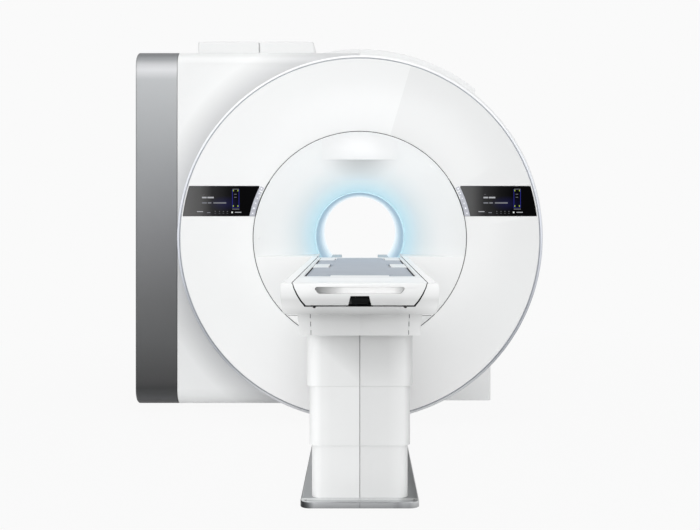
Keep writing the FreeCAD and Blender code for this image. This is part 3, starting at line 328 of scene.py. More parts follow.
def table_front():
    """White ABS of the table's front, with painted shade that darkens its face towards the bottom, a painted
    shadow in the pull slot and painted black shade in the lever notch.
    """
    made, tree, surface = moulded_white("white_table_abs", "#f2f3f3")
    paint = shaded_by_height(tree, 0.95, 1.075,
                             [(0.0, "#989999"), (0.176, "#b0b1b1"), (0.3, "#b5b6b6"), (0.456, "#bebfbf"),
                              (0.62, "#d2d3d3"), (0.77, "#dcdddd"), (0.92, "#e0e1e1"), (1.0, "#e6e7e7")],
                             [(0.0, "#c8c9c9"), (0.24, "#d3d4d4"), (0.456, "#c5c6c6"), (0.60, "#d4d5d5"),
                              (0.77, "#dcdddd"), (0.92, "#e1e2e2"), (1.0, "#e6e7e7")],
                             0.15, 0.30, (0.99, 0.99))
    across, along, up = (axis(tree, name) for name in "XYZ")
    off = calc(tree, "ABSOLUTE", across)
    paint = mixed(tree, remap(tree, along, TABLE_FRONT + 0.004, TABLE_FRONT + 0.03), paint, "#fbfbfb")
    inside = calc(tree, "GREATER_THAN", along, TABLE_FRONT + 0.0025)
    # painted shadow in the pull slot, darkest at its left end, then painted black shade in the lever notch
    slot_shade = ramp(tree, remap(tree, across, -0.17, 0.17), [
        (0.0, "#a2a3a3"), (0.10, "#bcbdbd"), (0.32, "#f9f9f9"), (0.9, "#fafafa"), (1.0, "#d8d9d9")])
    for (drop, half), colour in ((PULL_SLOT, slot_shade), (LEVER_NOTCH, "#0b0b0c")):
        hollow = product(tree, inside, calc(tree, "LESS_THAN", up, TABLE_TOP - drop),
                         calc(tree, "LESS_THAN", off, half))
        paint = mixed(tree, hollow, paint, colour)
    tree.links.new(paint, surface.inputs["Base Color"])
    return made


def satin_cover():
    """Painted sheet of the sleeves: satin white with a fine orange-peel grain."""
    made, tree, surface, noise = painted("white_satin_paint", "#eff0f1")
    tint(tree, surface, noise, [(0.2, "#edeeef"), (0.8, "#f2f3f4")])
    return made


def funnel_finish(shaded=True):
    """White gloss moulding with painted light: pale cyan near the bore's mouth for the ring's light, and a
    faint glow all over; shaded, it has painted shade below the visor's edge and lower down and painted light
    higher up, else painted shade at the visor's sides.
    """
    made, tree, surface = moulded_white("lit_white_moulding" if shaded else "white_visor_moulding",
                                        "#f4f6f7", 0.42)
    far = bore_distance(tree, BORE_RADIUS, SEAM_RADIUS)
    if shaded:
        base = [(0.0, "#cadde5"), (0.08, "#d2e3e9"), (0.2, "#dae4e8"), (0.35, "#e2e6e7"), (0.6, "#ebecec"),
                (1.0, "#eeefef")]
        visor_edge = distance(tree, (0, 0, BORE_AXIS + VISOR_HEIGHT), VISOR_SHADE)
        factor = product(tree, remap(tree, visor_edge, 0.0, 1.0, 0.67, 1.0, "SMOOTHSTEP"),
                         remap(tree, axis(tree, "Z"), BORE_AXIS - 0.04, BORE_AXIS + 0.46, 0.94, 1.08))
    else:
        base = [(0.0, "#fafbfb"), (1.0, "#fdfdfd")]
        factor = remap(tree, calc(tree, "ABSOLUTE", axis(tree, "X")), 0.06, 0.13, 0.95, 0.93)
    tint(tree, surface, far, base, factor)
    # painted light: emission for the ring's cyan light near the bore and a faint glow all over
    glow = ramp(tree, far, [(0.0, "#7b959c"), (0.25, "#6a7071"), (0.5, "#636464"), (1.0, "#3c3d3d")], factor)
    tree.links.new(glow, surface.inputs["Emission Color"])
    surface.inputs["Emission Strength"].default_value = looks().glow
    return made


def bore_finish():
    """Glass-fibre liner painted white, with painted shade that makes it blue-grey near the light ring and
    painted light that makes it white at the rear, also as emission.
    """
    made, tree, surface, noise = painted("painted_bore_liner", "#e6eff3", depth_mm=0.05, size_mm=4,
                                         strength=0.15, roughness=0.5)
    stops = [(0.0, "#a8c6d4"), (0.12, "#98b4c4"), (0.36, "#aec3cf"), (0.68, "#d6e2e8"), (1.0, "#f2f6f8")]
    colour = ramp(tree, remap(tree, axis(tree, "Y"), BORE_FRONT, 1.0), stops)
    for socket in ("Base Color", "Emission Color"):
        tree.links.new(colour, surface.inputs[socket])
    surface.inputs["Emission Strength"].default_value = LINER_GLOW
    return made


def anodised_band():
    """Anodised aluminium, bead-blasted, with painted reflection: silver at the top with a painted highlight
    just below its edge, darkening to graphite below.
    """
    made, tree, surface = material("anodised_aluminium_painted_reflection", "#8d8f91", 0.5, 0.3)
    tint(tree, surface, height_share(tree, 0.0, 2.45), [
        (0.025, "#444546"), (0.039, "#4c4d4f"), (0.053, "#3d3e3f"), (0.067, "#292a2b"), (0.085, "#383839"),
        (0.20, "#4f5051"), (0.31, "#5b5c5d"), (0.49, "#727375"), (0.69, "#8a8c8e"), (0.84, "#9d9fa1"),
        (0.92, "#a6a8aa"), (0.947, "#c5c6c8"), (0.963, "#b3b4b6"), (0.975, "#898b8d"), (0.99, "#707274")])
    grain(tree, surface, size_mm=1.2, strength=0.10, depth_mm=0.03, stretch=(1, 1, 0.2))
    return made


def rim_finish():
    """Satin silver lacquer of the rim, with painted shade: white at the top and grey below."""
    made, tree, surface = material("silver_rim_lacquer", "#d5d7dc", 0.36, 0.1)
    grain(tree, surface, size_mm=2, strength=0.05, depth_mm=0.02)
    tint(tree, surface, height_share(tree, *RING_HEIGHTS),
         [(0.0, "#cccdd0"), (0.06, "#c4c6c9"), (0.16, "#a0a3a9"), (0.32, "#a9acb3"), (0.5, "#ccd0d8"),
          (0.7, "#dcdfe4"), (0.85, "#e9eaec"), (1.0, "#e6e7e8")])
    return made


def cast_plate():
    """Machined aluminium base plate with a satin clear coat, and painted reflections: dark and bright bands
    near the front's corners, a painted highlight along the top's front edge, painted shade towards the bottom
    of the front and on the top near its right end.
    """
    made, tree, surface = material("satin_aluminium", "#b8babc", 0.4, 0.7)
    grain(tree, surface, size_mm=1.5, strength=0.2, depth_mm=0.05, stretch=(1, 0.2, 1))
    low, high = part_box("base_plate")
    share = height_share(tree, 0.0, high.z)
    across = remap(tree, axis(tree, "X"), -high.x, high.x)
    front = ramp(tree, across, [
        (0.024, "#303133"), (0.068, "#6c6e70"), (0.117, "#babcbe"), (0.218, "#b2b4b6"), (0.5, "#afb1b3"),
        (0.769, "#a9abad"), (0.819, "#98999c"), (0.868, "#acaeb0"), (0.919, "#a6a8aa"), (0.969, "#d4d6d7")],
        remap(tree, share, 0.2, 0.9, 0.60, 0.86))
    top = ramp(tree, remap(tree, axis(tree, "Y"), low.y, low.y + 0.09), [
        (0.0, "#bcbec0"), (0.3, "#d2d4d5"), (0.52, "#f6f7f7"), (0.6, "#f0f1f1"), (0.7, "#b1b3b5"),
        (1.0, "#a9abad")])
    # painted shade on the top near its right end
    reflection_bands = ramp(tree, across, [(0.0, "#ffffff"), (0.819, "#ffffff"), (0.868, "#dadada"), (0.919, "#d0d0d0"),
                                (0.969, "#a8a8a8")])
    shade = add(tree, "ShaderNodeVectorMath", {"operation": "MULTIPLY"}, {0: top, 1: reflection_bands})
    upper = calc(tree, "GREATER_THAN", share, 0.9)
    tree.links.new(mixed(tree, upper, front, shade.outputs["Vector"]), surface.inputs["Base Color"])
    return made


def display_glass(side):
    """Black glass over the screen: graphite on its left, with a dim blue glow behind the picture."""
    made, tree, surface = material("black_display_glass_" + side, "#101113", 0.25, Specular_IOR_Level=0.012,
                                   Emission_Strength=0.8)
    start = SCREEN_START[side]
    edge = start - GLASS_SHIFT[side]
    tint(tree, surface, remap(tree, axis(tree, "X"), edge, edge + 0.36),
         [(0.0, "#606060"), (0.27, "#535353"), (0.48, "#2b2b2c"), (0.77, "#121213"), (1.0, "#020203")])
    away = distance(tree, (start + GLOW_ACROSS, 0, SCREEN_MIDDLE), GLOW_REACH)
    tree.links.new(ramp(tree, away, [(0.0, "#12123c"), (1.0, "#000000")]), surface.inputs["Emission Color"])
    return made


def screen_light(name, colour):
    """A lit part of the picture behind the glass, in fine rows."""
    made, tree, surface = material(name, "#000000", 0.6, Specular_IOR_Level=0.0,
                                   Emission_Color=linear(colour))
    rows = calc(tree, "SINE", calc(tree, "MULTIPLY", axis(tree, "Z"), 2 * math.pi / SCREEN_ROW))
    tree.links.new(remap(tree, rows, -1.0, 1.0, 0.85, 1.0), surface.inputs["Emission Strength"])
    return made


def pad_vinyl():
    """Blue-grey coated fabric over foam, with a fine woven emboss drawn at twice its real pitch."""
    made, tree, surface = material("blue_grey_vinyl", "#b4bcc8", 0.6, Sheen_Weight=0.15, Sheen_Roughness=0.5)
    place = object_place(tree)
    weave = [add(tree, "ShaderNodeTexWave", {"bands_direction": way, "wave_profile": "SIN"}, {
        "Scale": WEAVE_SCALE, "Distortion": 0.4, "Detail": 1.0, "Vector": place}).outputs["Fac"]
        for way in "XY"]
    bump = add(tree, "ShaderNodeBump", (), {
        "Strength": 0.3, "Distance": 0.25 * MM, "Height": product(tree, *weave)})
    tree.links.new(bump.outputs["Normal"], surface.inputs["Normal"])
    noise = add(tree, "ShaderNodeTexNoise", (), {"Scale": 6.0, "Detail": 4.0, "Vector": place})
    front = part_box("pad")[0].y
    # painted shade: darker towards the pad's front end
    tint(tree, surface, noise.outputs["Fac"], [(0.3, "#9ba5b2"), (0.7, "#a1abb7")],
         remap(tree, axis(tree, "Y"), front, front + 1.1, 0.87, 1.0))
    return made


def black_plastic():
    """Matt black glass-filled nylon."""
    return plain("black_nylon", "#08090a", 0.6, 0.0, 0.9, 0.3, 0.05, Specular_IOR_Level=0.08)


def winding_resin():
    """Amber resin over copper."""
    made, tree, surface = material("resin_windings", "#9a6a43", 0.4)
    tint(tree, surface, grain(tree, surface, 5, 0.3), [(0.3, "#8c5f3b"), (0.7, "#a87850")])
    return made


FINISHES = {
    "white_cover": gloss_cover, "grey_band": anodised_band, "bore_white": bore_finish,
    "plate_grey": cast_plate, "copper_coil": winding_resin, "resin": winding_resin,
    "sleeve_white": satin_cover, "pad_blue": pad_vinyl, "ring": ring_finish, "cabinet": cabinet_finish,
    "funnel": funnel_finish, "visor": lambda: funnel_finish(False), "rim": rim_finish,
    "sleeve": sleeve_paint, "under": under_frame_paint, "table": table_front,
    "black_plastic": black_plastic, "belt_black": black_plastic,
    "deck": lambda: deck_finish("white_deck_abs", "#eaebeb", "#e9eae9", "#e6e7e7"),
    "kick": lambda: deck_finish("white_kick_panel_abs", "#fcfcfc", "#f6f7f7", "#e4e5e5"),
    "black_glass": lambda: display_glass("left"), "black_glass_right": lambda: display_glass("right"),
    # lavender-grey anodised trim at the bottom of the gap
    "silver_trim": lambda: plain("anodised_trim", "#a9adb4", 0.35, 0.4, 2, 0.05, 0.02),
    # silver-lavender moulded panel, its paler key caps and the white paint of their marks
    "key_silver": lambda: plain("silver_panel_plastic", "#b4b6be", 0.42, 0.1, 0.8, 0.12, 0.03),
    "key_cap": lambda: plain("silver_key_plastic", "#b5b7bf", 0.36, 0.1, 0.8, 0.10, 0.03),
    "trim_mark": lambda: plain("white_mark_paint", "#f4f4f8", 0.5, 0.0, 0.6, 0.2, 0.02),
    # acrylic light guide, lit pale cyan from behind
    "glow_ring": lambda: plain("lit_acrylic", "#c0dbe3", 0.3, 0.0, 3, 0.05, Emission_Color=linear("#aecbd4"),
                               Emission_Strength=looks().glow * 0.24),
    # grey-white moulded bridge in the bore
    "bridge": lambda: plain("grey_white_moulding", "#c5d0d5", 0.5, 0.0, 4, 0.15, 0.05),
    # turned and ground steel of the inner pieces
    "steel": lambda: plain("machined_steel", "#8f9194", 0.38, 1.0, 1.0, 0.12, 0.02, (1, 0.1, 1)),
    # dark grey strip of painted shade at the bottom of a seam or gap
    "seam_shade": lambda: plain("grey_seam_shade", "#46484b", 0.8, 0.0, 0.8, 0.3, 0.05),
    # twisted polyester thread, a little darker than the pad
    "thread": lambda: plain("polyester_thread", "#949daa", 0.7, 0.0, 0.6, 0.5, 0.1),
}
made_finishes = {}


def finish_of(slot):
    if slot not in made_finishes:
        made_finishes[slot] = FINISHES[slot]()
    return made_finishes[slot]


# ---------------------------------------------------------------- mesh helpers
def node_facts():
    """Material slot and body of every node of the frame."""
    slots = {part["node"]: part["material_slot"] for part in frame["record"]["subparts"]}
    bodies = {node: body for body, held in frame["record"]["behaviour"]["bodies"].items()
              for node in held}
    return slots, bodies


NODE_SLOT, NODE_BODY = node_facts()


def in_scene(name, data):
    made = bpy.data.objects.new(name, data)
    bpy.context.scene.collection.objects.link(made)
    return made


def new_piece(name, mesh, finish, body):
    """A piece in one finish, given by its name in FINISHES, that rides with a body."""
    piece = in_scene(name, mesh)
    mesh.materials.clear()
    mesh.materials.append(finish_of(finish))
    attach(piece, body)
    return piece


def smooth(mesh, angle):
    mesh.shade_smooth()
    mesh.set_sharp_from_angle(angle=math.radians(angle))


def from_bmesh(name, shape, smooth_angle=None):
    mesh = bpy.data.meshes.new(name)
    shape.to_mesh(mesh)
    shape.free()
    if smooth_angle is not None:
        smooth(mesh, smooth_angle)
    return mesh


def outward(name, shape, smooth_angle=30):
    """A closed shape as a mesh, with its faces turned outwards."""
    bmesh.ops.recalc_face_normals(shape, faces=shape.faces)
    return from_bmesh(name, shape, smooth_angle)


def merged(mesh):
    """A frame mesh with its doubled corners joined and its flat faces made whole."""
    shape = bmesh.new()
    shape.from_mesh(mesh)
    bmesh.ops.remove_doubles(shape, verts=shape.verts, dist=1e-5)
    bmesh.ops.dissolve_limit(shape, angle_limit=math.radians(0.5), verts=shape.verts, edges=shape.edges)
    return shape


def settled(piece):
    """The piece's mesh with its modifiers applied."""
    graph = bpy.context.evaluated_depsgraph_get()
    return bpy.data.meshes.new_from_object(piece.evaluated_get(graph))


def settle(piece):
    """Put the modifiers' result in place of the piece's mesh."""
    piece.data = settled(piece)
    piece.modifiers.clear()


def soft_edges(piece, width_mm, segments=3, angle=25):
    bevel = piece.modifiers.new("soft edges", "BEVEL")
    bevel.width = width_mm * MM
    bevel.segments = segments
    bevel.limit_method = "ANGLE"
    bevel.angle_limit = math.radians(angle)
    bevel.harden_normals = True
    return piece


def add_box(shape, low, high):
    """A box between two corners, added to a mesh being built."""
    made = bmesh.ops.create_cube(shape, size=1.0)["verts"]
    low, high = Vector(low), Vector(high)
    for vert in made:
        vert.co = Vector(((low + high) / 2)[i] + vert.co[i] * (high - low)[i] for i in range(3))


def box_mesh(name, boxes, smooth_angle=None):
    """One mesh of several boxes, each given by two corners."""
    shape = bmesh.new()
    for low, high in boxes:
        add_box(shape, low, high)
    return from_bmesh(name, shape, smooth_angle)


def paired(across, half, near, far, low, high):
    """Two boxes, one on each side of the middle."""
    return [((side * across - half, near, low), (side * across + half, far, high)) for side in (-1, 1)]


def carved(mesh, cutters):
    """The mesh less the cutters' meshes."""
    whole = in_scene("whole", mesh)
    tools = [in_scene("cutter", cutter) for cutter in cutters]
    for tool in tools:
        cut = whole.modifiers.new("cut", "BOOLEAN")
        cut.operation, cut.solver, cut.object = "DIFFERENCE", "EXACT", tool
    result = settled(whole)
    for spent in tools + [whole]:
        bpy.data.objects.remove(spent)
    return result


def dress(node, width_mm, finish=None, angle=25, move=None, nose_mm=0.0, grooves=(), split=False):
    """A merged, softly bevelled copy of a frame node that stands for it; move may shift its corners.

    Faces round an opening are split into plain ones where the bevel would fold them.
    """
    shape = merged(frame["nodes"][node].data)
    if move:
        for vert in shape.verts:
            move(vert.co)
    if nose_mm:
        front, top = (pick(vert.co[i] for vert in shape.verts) for pick, i in ((min, 1), (max, 2)))
        edges = [edge for edge in shape.edges
                 if all(vert.co.y < front + MM and vert.co.z > top - MM for vert in edge.verts)]
        bmesh.ops.bevel(shape, geom=edges, offset=nose_mm * MM, segments=6, profile=0.5, affect="EDGES")
    if split:
        bmesh.ops.connect_verts_concave(shape, faces=shape.faces)
    mesh = from_bmesh(node + "_skin", shape, 30)
    if grooves:
        mesh = carved(mesh, [box_mesh("cutter", grooves)])
    piece = new_piece(node + "_skin", mesh, finish or NODE_SLOT[node], NODE_BODY[node])
    soft_edges(piece, width_mm, angle=angle)
    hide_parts(node)
    return piece


def strips(name, boxes, finish, body, width_mm=0.3):
    """One piece of several slim bars with soft edges."""
    return soft_edges(new_piece(name, box_mesh(name, boxes, 30), finish, body), width_mm, 2)


def join_loops(shape, pairs, count=None):
    """Faces between the two loops of corners of each pair; a count leaves the loops open."""
    for this, following in pairs:
        for i in range(count or len(this)):
            j = (i + 1) % len(this)
            shape.faces.new((this[i], this[j], following[j], following[i]))


def turned_mesh(name, profile, steps=256, start=0.0, end=360.0):
    """A closed ring or arc of revolution about the bore axis; profile is a loop of (radius, Y)."""
    shape = bmesh.new()
    whole = end - start >= 360.0
    turns = [math.radians(start + (end - start) * i / steps) for i in range(steps if whole else steps + 1)]
    rings = [[shape.verts.new((radius * math.cos(turn), along, BORE_AXIS + radius * math.sin(turn)))
              for turn in turns] for radius, along in profile]
    join_loops(shape, zip(rings, rings[1:] + rings[:1]), steps)
    if not whole:
        shape.faces.new([ring[0] for ring in rings])
        shape.faces.new([ring[-1] for ring in rings][::-1])
    return outward(name, shape)


def run_along_y(name, outline, start, end):
    """A closed prism along Y from a loop of (X, Z)."""
    shape = bmesh.new()
    near, far = ([shape.verts.new((across, along, up)) for across, up in outline] for along in (start, end))
    join_loops(shape, [(near, far)])
    shape.faces.new(near[::-1])
    shape.faces.new(far)
    return outward(name, shape)


# ---------------------------------------------------------------- geometry nodes helpers
def node_tree(name, sizes):
    """A Geometry Nodes tree with its sizes as named inputs; sizes are (name, kind, default)."""
    tree = bpy.data.node_groups.new(name, "GeometryNodeTree")
    tree.interface.new_socket("Geometry", in_out="INPUT", socket_type="NodeSocketGeometry")
    for title, kind, default in sizes:
        tree.interface.new_socket(title, in_out="INPUT", socket_type=kind).default_value = default
    tree.interface.new_socket("Geometry", in_out="OUTPUT", socket_type="NodeSocketGeometry")
    return tree, add(tree, "NodeGroupInput").outputs


def finish_tree(tree, points, instance, rotation, finish):
    """Put the instance on the points, and end in Realize Instances and Set Material."""
    placed = add(tree, "GeometryNodeInstanceOnPoints", (), {
        "Points": points, "Instance": instance, "Rotation": rotation})
    real = add(tree, "GeometryNodeRealizeInstances", (), {"Geometry": placed.outputs["Instances"]})
    dressed = add(tree, "GeometryNodeSetMaterial", (), {
        "Geometry": real.outputs["Geometry"], "Material": finish_of(finish)})
    add(tree, "NodeGroupOutput", (), {"Geometry": dressed.outputs["Geometry"]})
    return tree


def studs_tree(name, finish):
    """A bevelled stud on every vertex, standing along the vertex's facing attribute."""
    tree, start = node_tree(name, [
        ("Sides", "NodeSocketInt", 24), ("Radius", "NodeSocketFloat", 0.007),
        ("Height", "NodeSocketFloat", 0.002), ("Turn", "NodeSocketFloat", 0.0)])
    stud = add(tree, "GeometryNodeMeshCone", (), {
        "Vertices": start["Sides"], "Radius Bottom": start["Radius"],
        "Radius Top": calc(tree, "MULTIPLY", start["Radius"], STUD_TAPER), "Depth": start["Height"]})
    spin = add(tree, "ShaderNodeCombineXYZ", (), {"Z": start["Turn"]})
    turned = add(tree, "GeometryNodeTransform", (), {
        "Geometry": stud.outputs["Mesh"], "Rotation": spin.outputs["Vector"]})
    facing = add(tree, "GeometryNodeInputNamedAttribute", {"data_type": "FLOAT_VECTOR"}, {"Name": "facing"})
    aim = add(tree, "FunctionNodeAlignRotationToVector", {"axis": "Z"}, {
        "Vector": facing.outputs["Attribute"]})
    return finish_tree(tree, start["Geometry"], turned.outputs["Geometry"], aim.outputs["Rotation"], finish)


def stitches_tree(name, finish):
    """Short threads laid one after another along the edges of a mesh."""
    tree, start = node_tree(name, [
        ("Pitch", "NodeSocketFloat", 0.006), ("Thread", "NodeSocketFloat", 0.0006)])
    line = add(tree, "GeometryNodeMeshToCurve", (), {"Mesh": start["Geometry"]})
    places = add(tree, "GeometryNodeCurveToPoints", {"mode": "LENGTH"}, {
        "Curve": line.outputs["Curve"], "Length": start["Pitch"]}).outputs
    ball = add(tree, "GeometryNodeMeshUVSphere", (), {"Segments": 6, "Rings": 4, "Radius": start["Thread"]})
    long = add(tree, "GeometryNodeTransform", (), {
        "Geometry": ball.outputs["Mesh"], "Scale": (1.0, 1.0, STITCH_STRETCH)})
    return finish_tree(tree, places["Points"], long.outputs["Geometry"], places["Rotation"], finish)


def grown(seed_mesh, tree, sizes):
    """Run a Geometry Nodes tree on a mesh and return the plain result."""
    seed = in_scene("seed", seed_mesh)
    grow = seed.modifiers.new("grow", "NODES")
    grow.node_group = tree
    for item in tree.interface.items_tree:
        if item.item_type == "SOCKET" and item.in_out == "INPUT" and item.name in sizes:
            grow[item.identifier] = sizes[item.name]
    result = settled(seed)
    seed.modifiers.remove(grow)
    bpy.data.objects.remove(seed)
    return result


def studs(name, places, facing, finish, body, slot, **sizes):
    """One piece of studs at the places; facing holds one direction for each."""
    mesh = bpy.data.meshes.new(name + "_places")
    mesh.from_pydata(places, [], [])
    kept = mesh.attributes.new("facing", "FLOAT_VECTOR", "POINT")
    for item, aim in zip(kept.data, facing):
        item.vector = aim
    named = {title.title(): value for title, value in sizes.items()}
    return new_piece(name, grown(mesh, studs_tree(name + "_tree", finish), named), finish, body)


# ---------------------------------------------------------------- sizes a user may change
class ScannerLooks(bpy.types.PropertyGroup):
    edge_width: bpy.props.FloatProperty(
        name="Cover edges", description="Rounding of the moulded covers' edges, in millimetres",
        default=3.0, min=0.5, max=8.0)
    glow: bpy.props.FloatProperty(
        name="Ring light", description="Strength of the lit ring round the bore", default=1.0, min=0.0,
        max=5.0)
    pad_crown: bpy.props.FloatProperty(
        name="Pad crown", description="How far the pad swells above its edge, in millimetres",
        default=2.5, min=0.0, max=5.0)
    stitch_pitch: bpy.props.FloatProperty(
        name="Stitch pitch", description="Distance from one stitch to the next, in metres",
        default=0.006, min=0.003, max=0.02, subtype="DISTANCE", unit="LENGTH")


def looks():
    return bpy.context.scene.scanner_looks


# ---------------------------------------------------------------- operators
class SCANNER_OT_finishes(bpy.types.Operator):
    """Give every piece of the frame the finish of its material"""
    bl_idname = "scanner.finishes"
    bl_label = "Finishes"

    def execute(self, context):
        for node, piece in frame["nodes"].items():
            for slot in piece.material_slots:
                slot.material = finish_of(NODE_SLOT[node])
        return {"FINISHED"}


def rounded_corner(corner, before, after, radius, steps=5):
    """Points of a quarter round at a right-angled corner; before and after point along its edges."""
    corner, before, after = Vector(corner), Vector(before), Vector(after)
    centre = corner + radius * (before + after)
    points = []
    for step in range(steps + 1):
        turn = math.pi / 2 * step / steps
        point = centre - radius * (math.cos(turn) * after + math.sin(turn) * before)
        points.append((point.x, point.y))
    return points


def window_cutter(side):
    """The space of a display in the ring cover, flared at its front for a small chamfer."""
    low, high = WINDOW_FLOOR - SEAM_GAP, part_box("display_left")[1].z + SEAM_GAP
    count = 12
    shape = bmesh.new()
    levels = []
    for deep, grow in ((-0.004, WINDOW_CHAMFER), (-0.0002, WINDOW_CHAMFER), (0.001, 0.0), (0.06, 0.0)):
        loop = [(WINDOW_START, low - grow)]
        for step in range(count + 1):
            up = low - grow + (high - low + 2 * grow) * step / count
            loop.append((math.sqrt((WINDOW_RADIUS + grow) ** 2 - (up - BORE_AXIS) ** 2), up))
        loop.append((WINDOW_START, high + grow))
        levels.append([shape.verts.new((side * across, GANTRY_FRONT + deep, up)) for across, up in loop])
    join_loops(shape, zip(levels, levels[1:]))
    shape.faces.new(levels[0])
    shape.faces.new(levels[-1][::-1])
    return outward("cutter", shape, None)


def ring_mesh():
    """The front ring: rounded lips, a flat face and the two cut-outs of the displays."""
    face, back = GANTRY_FRONT, GANTRY_FRONT + RING_DEPTH
    outer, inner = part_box("front_ring_cover")[1].x, SEAM_RADIUS + 0.001
    profile = (rounded_corner((inner, face), (0, 1), (1, 0), 3 * MM)
               + rounded_corner((outer, face), (-1, 0), (0, 1), 5 * MM)
               + [(outer, back), (outer - RING_WALL, back), (outer - RING_WALL, face + RING_WALL),
                  (inner + RING_WALL, face + RING_WALL), (inner + RING_WALL, back), (inner, back)])
    whole = turned_mesh("front_ring_cover_skin", profile, 360)
    mesh = carved(whole, [window_cutter(side) for side in (-1, 1)])
    smooth(mesh, 30)
    return mesh


def shade_ring(name, inner_mm, outer_mm, near, far, steps, **arc):
    """A black ring of painted shade in the seam round the funnel; its radii are counted from the seam's."""
    inner, outer = SEAM_RADIUS + inner_mm * MM, SEAM_RADIUS + outer_mm * MM
    mesh = turned_mesh(name, [(inner, near), (outer, near), (outer, far), (inner, far)], steps, **arc)
    new_piece(name, mesh, "black_plastic", "root")


class SCANNER_OT_covers(bpy.types.Operator):
    """Round the edges of the moulded covers and lay dark strips of painted shade in their joints"""
    bl_idname = "scanner.covers"
    bl_label = "Covers"

    def execute(self, context):
        width = looks().edge_width
        ring = new_piece("front_ring_cover_skin", ring_mesh(), "ring", "root")
        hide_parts("front_ring_cover")
        dress("rim_cover", width, finish="rim")
        dress("rim_trim", 0.8)
        dress("side_cabinet", width, finish="cabinet")
        for node in ("drum_cover", "side_band", "rear_cover", "foot_cover", "top_cover_left",
                     "top_cover_right"):
            dress(node, width)
        for side in ("left", "right"):
            dress("turret_cover_" + side, width, split=True)
        dress("docking_deck", width, finish="deck")
        dress("kick_panel", width, finish="kick")
        # painted shade: black strips in the seams round the funnel, beside the keys and under the deck
        shade_ring("funnel_seam_shade", -2.6, 0.6, SHADE_FRONT, SHADE_BACK, 360)
        for side, start in KEY_SEAM_STARTS:
            shade_ring("key_seam_seal_" + side, -4.4, 0.2, GANTRY_FRONT - 0.15 * MM, SHADE_FRONT, 32,
                      start=start, end=start + KEY_SEAM_ARC)
        seam = ((-0.455, SHADE_FRONT, BORE_AXIS - 0.495), (0.455, SHADE_BACK, BORE_AXIS - 0.491))
        strips("deck_seam_shade", [seam], "black_plastic", "root")
        return {"FINISHED"}


def funnel_front(radius):
    """Y of the funnel's front surface at a radius from the bore axis."""
    linear_part = FUNNEL_MOUTH - FUNNEL_NECK + FUNNEL_SAG
    root = math.sqrt(linear_part ** 2 - 4 * FUNNEL_SAG * (FUNNEL_MOUTH - radius))
    return GANTRY_FRONT + (linear_part - root) / (2 * FUNNEL_SAG) * (BORE_FRONT - GANTRY_FRONT)


def visor_mesh():
    """The visor swells out of the funnel without a seam and ends below in a straight edge."""
    columns, rows = 96, 56
    limit = FUNNEL_MOUTH - 4 * MM
    shape = bmesh.new()
    fronts, backs = [], []
    for row in range(rows + 1):
        rise = row / rows
        fronts.append([])
        backs.append([])
        for column in range(columns + 1):
            side = 2 * column / columns - 1
            across, up = VISOR_HALF * side, VISOR_HEIGHT + VISOR_TALL * rise
            reach = math.hypot(across, up)
            if reach > limit:
                across, up = across * limit / reach, up * limit / reach
            base = funnel_front(math.hypot(across, up))
            height = VISOR_DEPTH * (1 - side ** 2) ** 2 * (1 - rise) ** 2 * (1 + 2 * rise)
            front = base - height + (0.0004 if height < 1e-6 else 0.0)
            fronts[-1].append(shape.verts.new((across, front, BORE_AXIS + up)))
            backs[-1].append(shape.verts.new((across, base + 5 * MM, BORE_AXIS + up)))
    for grid in (fronts, backs):
        join_loops(shape, zip(grid, grid[1:]), columns)
    join_loops(shape, [(fronts[0], backs[0]), (fronts[-1], backs[-1])], columns)
    join_loops(shape, [([row[end] for row in fronts], [row[end] for row in backs]) for end in (0, -1)], rows)
    return outward("laser_visor_skin", shape, 40)


class SCANNER_OT_funnel(bpy.types.Operator):
    """Swelling funnel with its screw caps, bore tube, light ring and visor"""
    bl_idname = "scanner.funnel"
    bl_label = "Funnel and bore"

    def execute(self, context):
        wall, steps, end = 0.015, 48, BORE_FRONT + 0.020
        front = []
        for step in range(steps + 1):
            share = step / steps
            radius = FUNNEL_MOUTH + share * (FUNNEL_NECK - FUNNEL_MOUTH) - share * (1 - share) * FUNNEL_SAG
            front.append((radius, GANTRY_FRONT + share * (BORE_FRONT - GANTRY_FRONT)))
        back = [(radius, along + wall) for radius, along in reversed(front)][1:]
        lip = [(FUNNEL_MOUTH, GANTRY_FRONT + 0.0025), (FUNNEL_MOUTH - 0.0025, GANTRY_FRONT + 0.0002)]
        profile = front[1:] + [(FUNNEL_NECK, end), (FUNNEL_NECK + wall, end)] + back + lip
        skin = new_piece("front_funnel_skin", turned_mesh("front_funnel_skin", profile), "funnel", "root")
        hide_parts("front_funnel")
        visor = new_piece("laser_visor_skin", visor_mesh(), "visor", "root")
        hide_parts("laser_visor")
        caps, aims = [], []
        for turn in (0, 45, 135, 180):
            across, up = math.cos(math.radians(turn)), math.sin(math.radians(turn))
            caps.append((CAP_RADIUS * across, funnel_front(CAP_RADIUS) + 0.0006, BORE_AXIS + CAP_RADIUS * up))
            aims.append((-CAP_LEAN[0] * across, -CAP_LEAN[1], -CAP_LEAN[0] * up))
        studs("screw_caps", caps, aims, "funnel", "root", "white_cover", radius=0.007, height=0.003)
        dress("light_ring", 1.0)
        dress("bore_liner", 1.5, angle=40)
        dress("bore_bridge", 2.0, finish="bridge")
        blocks = paired(STOP_ACROSS, STOP_HALF, BORE_FRONT + 0.05, BORE_FRONT + 0.09, 0.999, STOP_TOP)
        strips("bridge_stops", blocks, "bridge", "root", 3)
        return {"FINISHED"}


